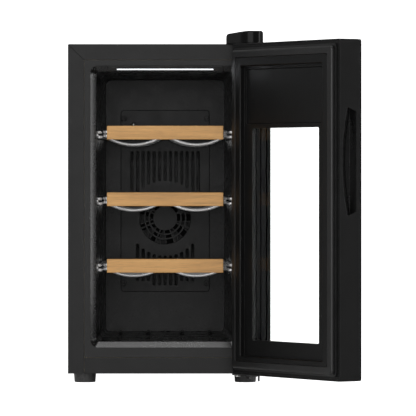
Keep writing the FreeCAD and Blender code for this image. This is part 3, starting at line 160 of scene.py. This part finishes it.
# ---- inner liner and lamp housing ----------------------------------------------------------------
# The tub is vacuum-formed from black ABS with a soft gloss, and the lamp housing is moulded to match. The
# flat rim round the mouth is paler and duller, and the narrow chamfer between rim and walls takes a clear
# shine.
RIM_BACK = -0.2297
CHAMFER_BACK = -0.2224
WALL_ROUGHNESS = 0.28
tub = coated("gloss_black_liner", (0.0085, 0.0085, 0.0085), WALL_ROUGHNESS, shine=0.22, tone_drift=0.05,
             roughness_drift=0.03, grain_scale=1200.0, grain_depth=0.000004, edge_radius=0.0008, rub=0.03)
tub_tree = tub.node_tree
tub_shader = tub_tree.nodes["Principled BSDF"]
tub_shader.inputs["Coat Roughness"].default_value = 0.10
tub_skin = next(node for node in tub_tree.nodes if node.type == "GROUP")
tub_place = add(tub_tree, "ShaderNodeTexCoord")
tub_axes = add(tub_tree, "ShaderNodeSeparateXYZ")
on_rim = add(tub_tree, "ShaderNodeMath", {1: RIM_BACK}, operation="LESS_THAN")
before_walls = add(tub_tree, "ShaderNodeMath", {1: CHAMFER_BACK}, operation="LESS_THAN")
on_chamfer = add(tub_tree, "ShaderNodeMath", operation="SUBTRACT")
rim_tone = add(tub_tree, "ShaderNodeMix",
               {"A": (0.0085, 0.0085, 0.0085, 1), "B": (0.027, 0.027, 0.027, 1)}, data_type="RGBA")
rim_sheen = add(tub_tree, "ShaderNodeMapRange", {"To Min": WALL_ROUGHNESS, "To Max": 0.50})
join(tub_tree, (tub_place, "Object", tub_axes, "Vector"), (tub_axes, "Y", on_rim, 0),
     (tub_axes, "Y", before_walls, 0), (before_walls, 0, on_chamfer, 0), (on_rim, 0, on_chamfer, 1),
     (on_chamfer, 0, tub_shader, "Coat Weight"), (on_rim, 0, rim_sheen, "Value"),
     (rim_sheen, "Result", tub_skin, "Roughness"), (on_rim, 0, rim_tone, "Factor"),
     (rim_tone, "Result", tub_skin, "Colour"))
dress(tub, "inner_liner", "lamp_housing")

# ---- fan cover, cold pocket and rear cover -------------------------------------------------------
# The pocket behind the back wall and the rear cover are dark grey ABS with a spark-eroded grain that
# takes the shine off. The slotted cover in front of the cold fan is black ABS with a soft gloss, held by
# small screws.
grained = coated("grained_grey_moulding", (0.030, 0.030, 0.030), 0.5, tone_drift=0.12,
                 roughness_drift=0.08, grain_scale=1400.0, grain_depth=0.00006, edge_radius=0.0005,
                 rub=0.08)
dress(grained, "cold_pocket", "rear_cover")
cover_skin = coated("gloss_black_fan_cover", (0.012, 0.012, 0.012), 0.32, shine=0.24, tone_drift=0.15,
                    roughness_drift=0.04, grain_scale=1400.0, grain_depth=0.00002, edge_radius=0.0006,
                    rub=0.03)
dress(cover_skin, "fan_cover")

# ---- feet, hinge cover and mains inlet -----------------------------------------------------------
# The hood over the top hinge and the housing of the mains inlet are small gloss black mouldings. The four
# feet are smooth gloss black polypropylene, each held to the base by a screw; they are given a dark grey,
# lighter than the hood's black, as painted light for the grey reflections on them.
gloss = coated("gloss_black_moulding", (0.004, 0.004, 0.004), 0.20, shine=0.14, tone_drift=0.2,
               roughness_drift=0.06, grain_scale=700.0, grain_depth=0.00002, edge_radius=0.0009, rub=0.05)
dress(gloss, "top_hinge_cover", "power_inlet")
# A lighter copy of the hood's black: painted light on the gloss feet.
foot_lit_grey = coated("foot_black_with_painted_light", (0.085, 0.085, 0.085), 0.28, tone_drift=0.15, roughness_drift=0.06,
                   grain_scale=700.0, grain_depth=0.00002, edge_radius=0.0009, rub=0.05)
dress(foot_lit_grey, "foot_front_left", "foot_front_right", "foot_rear_left", "foot_rear_right")

# ---- door mouldings ------------------------------------------------------------------------------
# Frame, inner bezel and control cover are black ABS with a soft even sheen, their edges painted paler in
# patches, partly as wear and partly as thin painted highlight lines. The grip is a scooped finger pocket
# in the door's free edge, a separate and more polished moulding.
door_black = coated("satin_black_door", (0.0045, 0.0045, 0.0045), 0.36, shine=0.24, tone_drift=0.15,
                    roughness_drift=0.05, grain_scale=1500.0, grain_depth=0.00002, edge_radius=0.0009,
                    rub=0.12)
dress(door_black, "door_frame", "door_bezel", "control_cover")
# The grip's black is set lighter than the frame's as painted light, so that its pocket does not read as
# deep shade; its edges carry more of the painted highlight.
grip_lit_black = coated("polished_grip_with_painted_light", (0.012, 0.012, 0.012), 0.30, shine=0.5, tone_drift=0.15,
                    roughness_drift=0.05, grain_scale=1500.0, grain_depth=0.00001, edge_radius=0.0009,
                    rub=0.2)
dress(grip_lit_black, "door_grip")

# ---- seal and grommet ----------------------------------------------------------------------------
# The magnetic seal round the door and the drain's grommet are soft black vinyl with a low sheen, their
# edges painted paler in patches, partly as wear and partly as a painted highlight. The root of the seal
# is pressed into the bezel's groove.
seal = coated("soft_seal", (0.006, 0.006, 0.006), 0.36, shine=0.6, tone_drift=0.15, roughness_drift=0.08,
              grain_scale=900.0, grain_depth=0.00001, edge_radius=0.0006, rub=0.1)
dress(seal, "door_gasket", "drain_grommet")

# ---- fans ----------------------------------------------------------------------------------------
# Two axial fans, one on each side of the cooling module. Frame and bladed rotor are moulded in matt black
# plastic, and the rotor turns on the frame's pin.
fan_black = coated("fan_black", (0.014, 0.014, 0.014), 0.45, tone_drift=0.15, grain_scale=900.0, rub=0.05)
dress(fan_black, "cold_fan_frame", "cold_fan_rotor", "hot_fan_frame", "hot_fan_rotor")

# ---- metal parts ---------------------------------------------------------------------------------
# Screws, magnets and posts are zinc-plated; the blocks and the hot side's fins are bare aluminium, and
# the cold sink's fins are coloured near black as painted shade, for the shadow behind the fan cover's
# slots;
# the partition is galvanised sheet; the hinge brackets are blackened steel. Runners and shelf wires are
# bright nickel-chrome, and the screws of the fan cover are black.
zinc = coated("zinc_plated_steel", (0.55, 0.55, 0.54), 0.32, 1.0, tone_drift=0.12, grain_scale=2500.0,
              rub=0.1)
dress(zinc, "rear_cover_screws", "foot_screws", "hinge_screws", "gasket_magnets",
      "shelf_1_screws", "shelf_2_screws", "shelf_3_screws", "probe_capsule", "inlet_pins", "board_posts",
      "touch_pads")
extruded = coated("extruded_aluminium", (0.78, 0.79, 0.80), 0.34, 1.0, tone_drift=0.06,
                  grain_scale=1200.0, rub=0.0)
dress(extruded, "cold_block", "hot_sink")
# The cold sink's fins are coloured near black as painted shade, for the shadow behind the fan cover's
# slots.
shade_dark_fins = coated("fins_darkened_as_painted_shade", (0.010, 0.010, 0.010), 0.40, tone_drift=0.1, grain_scale=1200.0,
                   rub=0.0)
dress(shade_dark_fins, "cold_sink")
galvanised = coated("galvanised_sheet", (0.56, 0.57, 0.58), 0.42, 1.0, tone_drift=0.2, grain_scale=120.0,
                    rub=0.1)
dress(galvanised, "rear_partition")
blackened = coated("blackened_steel", (0.10, 0.10, 0.10), 0.38, 1.0, tone_drift=0.2, grain_scale=1600.0,
                   rub=0.25)
dress(blackened, "top_hinge_bracket", "bottom_hinge_bracket")
anodised = coated("black_anodised_spacer", (0.003, 0.003, 0.003), 0.34, shine=0.1, tone_drift=0.1,
                  grain_scale=2000.0, rub=0.0)
dress(anodised, "glass_spacer")
dark_screw = coated("black_oxide_screw", (0.016, 0.016, 0.016), 0.34, shine=0.3, tone_drift=0.2,
                    grain_scale=1600.0, rub=0.1)
dress(dark_screw, "fan_cover_screws")
# Only half metallic: the white base also shows as a white diffuse tone, a painted reflection that keeps
# the wires near white.
chrome = coated("nickel_chrome_with_painted_white", (1.0, 1.0, 1.0), 0.24, 0.48, tone_drift=0.03,
                roughness_drift=0.03, grain_scale=300.0, grain_depth=0.000004, edge_radius=0.0008,
                rub=0.0)
dress(chrome, "shelf_runners", "shelf_1_wires", "shelf_2_wires", "shelf_3_wires")

# ---- inner works ---------------------------------------------------------------------------------
# What the panels hide: the white ceramic cooling module, rigid foam between liner and shell, green
# circuit boards with dark parts soldered on, and the white acetal bushes that the door turns in.
ceramic = coated("white_ceramic", (0.82, 0.81, 0.78), 0.5, rub=0.0)
dress(ceramic, "peltier_module")
foam = coated("rigid_foam", (0.70, 0.58, 0.36), 0.9, tone_drift=0.15, grain_scale=700.0,
              grain_depth=0.0002, rub=0.0)
dress(foam, "insulation_foam")
board = coated("green_circuit_board", (0.012, 0.10, 0.035), 0.35, tone_drift=0.2, grain_scale=500.0,
               rub=0.0)
dress(board, "lamp_board", "power_board", "control_board")
parts = coated("electronic_parts", (0.05, 0.05, 0.055), 0.45, rub=0.05)
dress(parts, "power_components", "display_module")
acetal = coated("white_acetal", (0.75, 0.74, 0.70), 0.45, rub=0.0)
dress(acetal, "door_bushes")

# ---- wooden shelf fronts -------------------------------------------------------------------------
# Solid oak rails with the grain along the length, eased edges and a clear satin lacquer.


def oak_material():
    """Lacquered oak: long figure along X, fine dark pores and a sheen that follows the figure."""
    material = bpy.data.materials.new("lacquered_oak")
    material.use_nodes = True
    tree = material.node_tree
    shader = tree.nodes["Principled BSDF"]
    place = add(tree, "ShaderNodeTexCoord")
    stretch = add(tree, "ShaderNodeMapping",
                  {"Scale": (7.0, 150.0, 150.0), "Rotation": (0.0, 0.012, 0.0)})
    figure = add(tree, "ShaderNodeTexNoise",
                 {"Scale": 1.0, "Detail": 8.0, "Roughness": 0.62, "Distortion": 0.6})
    fine = add(tree, "ShaderNodeMapping", {"Scale": (60.0, 1500.0, 1500.0)})
    pores = add(tree, "ShaderNodeTexNoise", {"Scale": 1.0, "Detail": 4.0, "Roughness": 0.6})
    ramp = add(tree, "ShaderNodeValToRGB")
    ramp.color_ramp.elements[0].position = 0.30
    ramp.color_ramp.elements[0].color = (0.50, 0.252, 0.074, 1)
    ramp.color_ramp.elements[1].position = 0.68
    ramp.color_ramp.elements[1].color = (0.82, 0.46, 0.165, 1)
    middle = ramp.color_ramp.elements.new(0.5)
    middle.color = (0.71, 0.378, 0.122, 1)
    pore_tone = add(tree, "ShaderNodeMapRange",
                    {"From Min": 0.30, "From Max": 0.50, "To Min": 0.74, "To Max": 1.0})
    darker = add(tree, "ShaderNodeVectorMath", operation="SCALE")
    sheen = add(tree, "ShaderNodeMapRange",
                {"From Min": 0.3, "From Max": 0.7, "To Min": 0.36, "To Max": 0.52})
    soft = add(tree, "ShaderNodeBevel", {"Radius": 0.0009}, samples=4)
    bump = add(tree, "ShaderNodeBump", {"Strength": 0.5, "Distance": 0.00006})
    join(tree, (place, "Object", stretch, "Vector"), (stretch, "Vector", figure, "Vector"),
         (place, "Object", fine, "Vector"), (fine, "Vector", pores, "Vector"),
         (figure, "Fac", ramp, "Fac"), (pores, "Fac", pore_tone, "Value"), (ramp, "Color", darker, 0),
         (pore_tone, "Result", darker, "Scale"), (darker, "Vector", shader, "Base Color"),
         (figure, "Fac", sheen, "Value"), (sheen, "Result", shader, "Roughness"),
         (soft, "Normal", bump, "Normal"), (pores, "Fac", bump, "Height"),
         (bump, "Normal", shader, "Normal"))
    return material


dress(oak_material(), "shelf_1_front", "shelf_2_front", "shelf_3_front")

# ---- door panes ----------------------------------------------------------------------------------
# Two panes of clear float glass held apart by the spacer, with a trace of film on them. They are thin, so
# they bend light very little.


def glass_material(name, tint):
    """Clear glass with a faint uneven film; tint is the colour of light that has passed through."""
    material = bpy.data.materials.new(name)
    material.use_nodes = True
    tree = material.node_tree
    shader = tree.nodes["Principled BSDF"]
    shader.inputs["Transmission Weight"].default_value = 1.0
    shader.inputs["IOR"].default_value = 1.10
    shader.inputs["Specular IOR Level"].default_value = 0.15
    place = add(tree, "ShaderNodeTexCoord")
    film = add(tree, "ShaderNodeTexNoise", {"Scale": 30.0, "Detail": 5.0})
    rough = add(tree, "ShaderNodeMapRange",
                {"From Min": 0.45, "From Max": 0.75, "To Min": 0.0, "To Max": 0.02})
    shade = add(tree, "ShaderNodeMapRange",
                {"From Min": 0.3, "From Max": 0.7, "To Min": 0.97, "To Max": 1.0})
    colour = add(tree, "ShaderNodeVectorMath", operation="SCALE")
    colour.inputs[0].default_value = tint
    join(tree, (place, "Object", film, "Vector"), (film, "Fac", rough, "Value"),
         (film, "Fac", shade, "Value"), (shade, "Result", colour, "Scale"),
         (colour, "Vector", shader, "Base Color"), (rough, "Result", shader, "Roughness"))
    return material


dress(glass_material("clear_float_glass", (0.99, 1.0, 0.995)), "door_glass_outer", "door_glass_inner")

# ---- printed border of the door's outer pane -----------------------------------------------------
# A coat of black ceramic ink behind the outer pane hides the frame round the clear window. Modelled as a
# plane whose window is inset and cut out, thickened, then turned about the hinge pins to where the open
# door stands.
HINGE = (0.1119, -0.2567, 0.0)
DOOR_TURN = math.radians(121)
INK_FACE = -0.26774
INK_THICKNESS = 0.0001
PANE_HALF = 0.1272
PANE_FOOT = 0.0132
PANE_HEAD = 0.4436
INK_MARGIN = 0.001
WINDOW_HALF = 0.0805
WINDOW_FOOT = 0.0575
WINDOW_HEAD = 0.3347
WINDOW_ROUND = 0.002
NEAR_MIDDLE = 0.11


def tidy_and_turn(piece):
    """Merges doubles, points the normals outward and turns a door piece to where the open door is."""
    bpy.context.view_layer.objects.active = piece
    bpy.ops.object.mode_set(mode="EDIT")
    bpy.ops.mesh.select_all(action="SELECT")
    bpy.ops.mesh.remove_doubles(threshold=0.000001)
    bpy.ops.mesh.normals_make_consistent(inside=False)
    bpy.ops.transform.rotate(value=-DOOR_TURN, orient_axis="Z", center_override=HINGE)
    bpy.ops.object.mode_set(mode="OBJECT")
    bpy.ops.object.select_all(action="DESELECT")


def upright_plane(x0, x1, z0, z1, y):
    """A flat rectangle that faces -Y, its object at the origin, left in edit mode and selected."""
    bpy.ops.object.select_all(action="DESELECT")
    bpy.ops.mesh.primitive_plane_add(size=1.0, location=(0, 0, 0))
    piece = bpy.context.object
    for corner in piece.data.vertices:
        side, up = corner.co.x > 0, corner.co.y > 0
        corner.co = (x1 if side else x0, y, z1 if up else z0)
    bpy.ops.object.mode_set(mode="EDIT")
    bpy.ops.mesh.select_all(action="SELECT")
    return piece


def pick_window(piece):
    """Selects only the face that the window takes up."""
    for face in piece.data.polygons:
        face.select = all(abs(piece.data.vertices[n].co.x) < NEAR_MIDDLE for n in face.vertices)


border = upright_plane(INK_MARGIN - PANE_HALF, PANE_HALF - INK_MARGIN, PANE_FOOT + INK_MARGIN,
                       PANE_HEAD - INK_MARGIN, INK_FACE)
border.name = "printed_border"
bpy.ops.mesh.inset(thickness=0.02, use_boundary=True)
bpy.ops.object.mode_set(mode="OBJECT")
for point in border.data.vertices:
    if abs(point.co.x) < NEAR_MIDDLE:
        point.co.x = math.copysign(WINDOW_HALF, point.co.x)
        point.co.z = WINDOW_HEAD if point.co.z > 0.2 else WINDOW_FOOT
pick_window(border)
bpy.ops.object.mode_set(mode="EDIT")
bpy.ops.mesh.select_mode(type="FACE")
bpy.ops.mesh.bevel(offset=WINDOW_ROUND, segments=4, affect="VERTICES")
bpy.ops.object.mode_set(mode="OBJECT")
pick_window(border)
bpy.ops.object.mode_set(mode="EDIT")
bpy.ops.mesh.delete(type="FACE")
bpy.ops.mesh.select_all(action="SELECT")
bpy.ops.mesh.extrude_region_move(TRANSFORM_OT_translate={"value": (0, INK_THICKNESS, 0)})
tidy_and_turn(border)
ink = coated("black_ceramic_ink", (0.0025, 0.0025, 0.0025), 0.45, shine=0.15, tone_drift=0.1,
             grain_scale=2400.0, grain_depth=0.000004, edge_radius=0.0001, rub=0.0)
border.data.materials.append(ink)
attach(border, "door")

# ---- black band round the outer pane's edge ------------------------------------------------------
# A thin black band wrapped round the pane's ground edge keeps that edge dark, so that no light shows
# through it. Modelled as a plane with rounded corners, inset, its middle taken out, and drawn out to the
# pane's thickness.
BAND_FRONT = -0.2705
BAND_DEPTH = 0.0028
BAND_THICKNESS = 0.00018
PANE_CORNER = 0.003
edge_band = upright_plane(-PANE_HALF, PANE_HALF, PANE_FOOT, PANE_HEAD, BAND_FRONT)
edge_band.name = "black_pane_edge_band"
bpy.ops.mesh.bevel(offset=PANE_CORNER, segments=5, affect="VERTICES")
bpy.ops.mesh.select_all(action="SELECT")
bpy.ops.mesh.inset(thickness=BAND_THICKNESS)
bpy.ops.mesh.delete(type="FACE")
bpy.ops.mesh.select_all(action="SELECT")
bpy.ops.mesh.extrude_region_move(TRANSFORM_OT_translate={"value": (0, BAND_DEPTH, 0)})
tidy_and_turn(edge_band)
edge_band.data.materials.append(ink)
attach(edge_band, "door")

# ---- marks of the touch panel --------------------------------------------------------------------
# Pale ink on the black border: up and down arrows, a lamp ring and a switch ring with its stroke, and the
# unlit bars of two display figures. Each mark is modelled flat in the middle of the panel and thickened,
# then copied to its places and turned with the door.
MARK_FACE = -0.26778
MARK_THICKNESS = 0.00002
PANEL_Z = 0.378
ARROW_X = 0.030
ARROW_RADIUS = 0.0027
RING_X = 0.046
RING_RADIUS = 0.0030
STROKE_LENGTH = 0.0030
STROKE_WIDTH = 0.0007
STROKE_UP = 0.0022
DOT_RADIUS = 0.0011
FIGURE_X = 0.006
BAR_WIDTH = 0.0009
BAR_LEVEL = 0.0050
BAR_UPRIGHT = 0.0046
BAR_SIDE = 0.0031
BAR_STEP = 0.0028
pale_ink = coated("pale_grey_ink", (0.42, 0.43, 0.44), 0.6, tone_drift=0.05, grain_scale=2400.0, rub=0.0)
unlit = coated("unlit_display_bar", (0.05, 0.052, 0.055), 0.5, tone_drift=0.1, grain_scale=2400.0,
               rub=0.0)


def flat_bar(across, tall):
    """A small rectangle in the middle of the panel, left in edit mode."""
    return upright_plane(-across / 2, across / 2, PANEL_Z - tall / 2, PANEL_Z + tall / 2, MARK_FACE)


def flat_disc(radius, corners):
    """A small disc, or a triangle of three corners, in the middle of the panel, left in edit mode."""
    bpy.ops.object.select_all(action="DESELECT")
    bpy.ops.mesh.primitive_circle_add(vertices=corners, radius=radius, fill_type="NGON",
                                      location=(0, 0, 0))
    piece = bpy.context.object
    for point in piece.data.vertices:
        point.co = (point.co.x, MARK_FACE, PANEL_Z + point.co.y)
    bpy.ops.object.mode_set(mode="EDIT")
    bpy.ops.mesh.select_all(action="SELECT")
    return piece


def raised(mark, ink_used):
    """Gives a flat mark the thickness of the ink, ready to be copied."""
    bpy.ops.mesh.extrude_region_move(TRANSFORM_OT_translate={"value": (0, MARK_THICKNESS, 0)})
    bpy.ops.object.mode_set(mode="OBJECT")
    bpy.ops.object.select_all(action="DESELECT")
    mark.data.materials.append(ink_used)
    return mark


def printed(mark, name, across, up=0.0, way=1):
    """Copies a mark to its place, upside down where way is -1, and turns the copy with the door."""
    piece = mark.copy()
    piece.data = mark.data.copy()
    piece.name = name
    bpy.context.scene.collection.objects.link(piece)
    for point in piece.data.vertices:
        point.co.x = across + way * point.co.x
        point.co.z = PANEL_Z + up + way * (point.co.z - PANEL_Z)
    tidy_and_turn(piece)
    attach(piece, "door")


arrow = raised(flat_disc(ARROW_RADIUS, 3), pale_ink)
printed(arrow, "arrow_up", -ARROW_X)
printed(arrow, "arrow_down", ARROW_X, way=-1)
ring = flat_disc(RING_RADIUS, 40)
bpy.ops.mesh.inset(thickness=RING_RADIUS / 5)
bpy.ops.mesh.delete(type="FACE")
bpy.ops.mesh.select_all(action="SELECT")
raised(ring, pale_ink)
printed(ring, "lamp_ring", -RING_X)
printed(ring, "switch_ring", RING_X)
stroke = raised(flat_bar(STROKE_WIDTH, STROKE_LENGTH), pale_ink)
printed(stroke, "switch_stroke", RING_X, STROKE_UP)
dot = raised(flat_disc(DOT_RADIUS, 24), pale_ink)
printed(dot, "lamp_dot", -RING_X)
level_bar = raised(flat_bar(BAR_LEVEL, BAR_WIDTH), unlit)
upright_bar = raised(flat_bar(BAR_WIDTH, BAR_UPRIGHT), unlit)
for figure, middle_x in enumerate((-FIGURE_X, FIGURE_X)):
    for number, step in enumerate((2, 0, -2)):
        printed(level_bar, "figure_%d_bar_%d" % (figure, number), middle_x, step * BAR_STEP)
    for number, (side, step) in enumerate(((-1, 1), (1, 1), (-1, -1), (1, -1)), start=3):
        bar_name = "figure_%d_bar_%d" % (figure, number)
        printed(upright_bar, bar_name, middle_x + side * BAR_SIDE, step * BAR_STEP)
for mark in (arrow, ring, stroke, dot, level_bar, upright_bar):
    bpy.data.objects.remove(mark)

# ---- lamp lens -----------------------------------------------------------------------------------
# An opal bar lens, set in the housing over the mouth and lit from behind by a row of white diodes. It
# lights the tub strongly, but seen directly it is only about as bright as white paper.
LENS_LIGHT = 12.0
LENS_SEEN = 0.9
lens = bpy.data.materials.new("lit_opal_lens")
lens.use_nodes = True
lens_tree = lens.node_tree
lens_shader = lens_tree.nodes["Principled BSDF"]
lens_path = add(lens_tree, "ShaderNodeLightPath")
lens_power = add(lens_tree, "ShaderNodeMapRange", {"To Min": LENS_LIGHT, "To Max": LENS_SEEN})
lens_place = add(lens_tree, "ShaderNodeTexCoord")
lens_cells = add(lens_tree, "ShaderNodeTexNoise", {"Scale": 90.0, "Detail": 2.0})
lens_glow = add(lens_tree, "ShaderNodeValToRGB")
lens_glow.color_ramp.elements[0].color = (0.80, 0.84, 0.92, 1)
lens_glow.color_ramp.elements[1].color = (1.0, 1.0, 1.0, 1)
join(lens_tree, (lens_path, "Is Camera Ray", lens_power, "Value"),
     (lens_power, "Result", lens_shader, "Emission Strength"),
     (lens_place, "Object", lens_cells, "Vector"), (lens_cells, "Fac", lens_glow, "Fac"),
     (lens_glow, "Color", lens_shader, "Emission Color"), (lens_glow, "Color", lens_shader, "Base Color"))
dress(lens, "lamp_lens")

# ---- floor and backdrop --------------------------------------------------------------------------
# One sheet of white paper: the floor, a short ramp and a tall wall behind. It isn't part of the cabinet.
# Seen directly or through glass it gives off light of its own, so that it stays an even white.
FLOOR_WIDTH = 30.0
FLOOR_FRONT = -14.0
FLOOR_BACK = 12.0
PAPER_GLOW = 1.2
bpy.ops.mesh.primitive_plane_add(size=1.0, location=(0, 0, 0))
floor = bpy.context.object
floor.name = "studio_floor"
for corner in floor.data.vertices:
    corner.co.x *= FLOOR_WIDTH
    corner.co.y = FLOOR_FRONT if corner.co.y < 0 else FLOOR_BACK
bpy.ops.object.mode_set(mode="EDIT")
bpy.ops.mesh.select_mode(type="EDGE")
bpy.ops.mesh.select_all(action="DESELECT")
bpy.ops.object.mode_set(mode="OBJECT")
for edge in floor.data.edges:
    edge.select = all(floor.data.vertices[n].co.y == FLOOR_BACK for n in edge.vertices)
bpy.ops.object.mode_set(mode="EDIT")
bpy.ops.mesh.extrude_region_move(TRANSFORM_OT_translate={"value": (0, 1.5, 0.5)})
bpy.ops.mesh.extrude_region_move(TRANSFORM_OT_translate={"value": (0, 0.5, 9.0)})
bpy.ops.object.mode_set(mode="OBJECT")
backdrop = bpy.data.materials.new("white_paper")
backdrop.use_nodes = True
paper = backdrop.node_tree
paper_shader = paper.nodes["Principled BSDF"]
paper_shader.inputs["Base Color"].default_value = (0.86, 0.86, 0.86, 1)
paper_shader.inputs["Roughness"].default_value = 0.9
paper_shader.inputs["Emission Color"].default_value = (1, 1, 1, 1)
paper_path = add(paper, "ShaderNodeLightPath")
paper_seen = add(paper, "ShaderNodeMath", operation="MAXIMUM")
paper_lift = add(paper, "ShaderNodeMath", {1: PAPER_GLOW}, operation="MULTIPLY")
join(paper, (paper_path, "Is Camera Ray", paper_seen, 0),
     (paper_path, "Is Transmission Ray", paper_seen, 1), (paper_seen, 0, paper_lift, 0),
     (paper_lift, 0, paper_shader, "Emission Strength"))
floor.data.materials.append(backdrop)

# ---- light and camera ----------------------------------------------------------------------------
# A dim white surround and four soft boxes: a broad one in front, a key from the left, one along the
# door's side and a faint one overhead. The camera stands straight in front, a little above the middle,
# with a long lens.
world = bpy.data.worlds.new("studio")
bpy.context.scene.world = world
world.use_nodes = True
sky = world.node_tree
surround = sky.nodes["Background"]
surround.inputs["Color"].default_value = (1, 1, 1, 1)
sky_path = add(sky, "ShaderNodeLightPath")
sky_seen = add(sky, "ShaderNodeMath", operation="MAXIMUM")
sky_strength = add(sky, "ShaderNodeMapRange", {"To Min": 0.30, "To Max": PAPER_GLOW})
join(sky, (sky_path, "Is Camera Ray", sky_seen, 0), (sky_path, "Is Transmission Ray", sky_seen, 1),
     (sky_seen, 0, sky_strength, "Value"), (sky_strength, "Result", surround, "Strength"))


def soft_box(name, size, power, spot, aim):
    """A rectangular soft light at spot, turned to face aim."""
    lamp = bpy.data.lights.new(name, "AREA")
    lamp.shape = "RECTANGLE"
    lamp.size, lamp.size_y = size
    lamp.energy = power
    holder = bpy.data.objects.new(name, lamp)
    holder.location = spot
    holder.rotation_euler = (Vector(aim) - Vector(spot)).to_track_quat("-Z", "Y").to_euler()
    bpy.context.scene.collection.objects.link(holder)


soft_box("front", (6.4, 4.6), 205.0, (-0.6, -7.4, 0.9), (0, -0.2, 0.25))
soft_box("key_front_left", (2.0, 2.0), 30.0, (-2.6, -3.6, 2.4), (0.1, -0.2, 0.25))
soft_box("rim_right", (1.0, 2.6), 26.0, (3.4, -0.45, 1.0), (0.2, -0.4, 0.28))
soft_box("overhead", (2.2, 1.2), 15.0, (0, -0.45, 3.4), (0, -0.45, 0))

camera = bpy.data.cameras.new("camera")
camera.sensor_width = 36.0
camera.lens = 369.8
camera.shift_x = 0.103
camera.shift_y = -0.0673
camera.clip_end = 60.0
viewer = bpy.data.objects.new("camera", camera)
viewer.location = (0, -5.83, 0.2663)
viewer.rotation_euler = (math.pi / 2, 0, 0)
bpy.context.scene.collection.objects.link(viewer)
bpy.context.scene.camera = viewer
bpy.context.scene.view_settings.view_transform = "Standard"
bpy.context.scene.view_settings.look = "None"
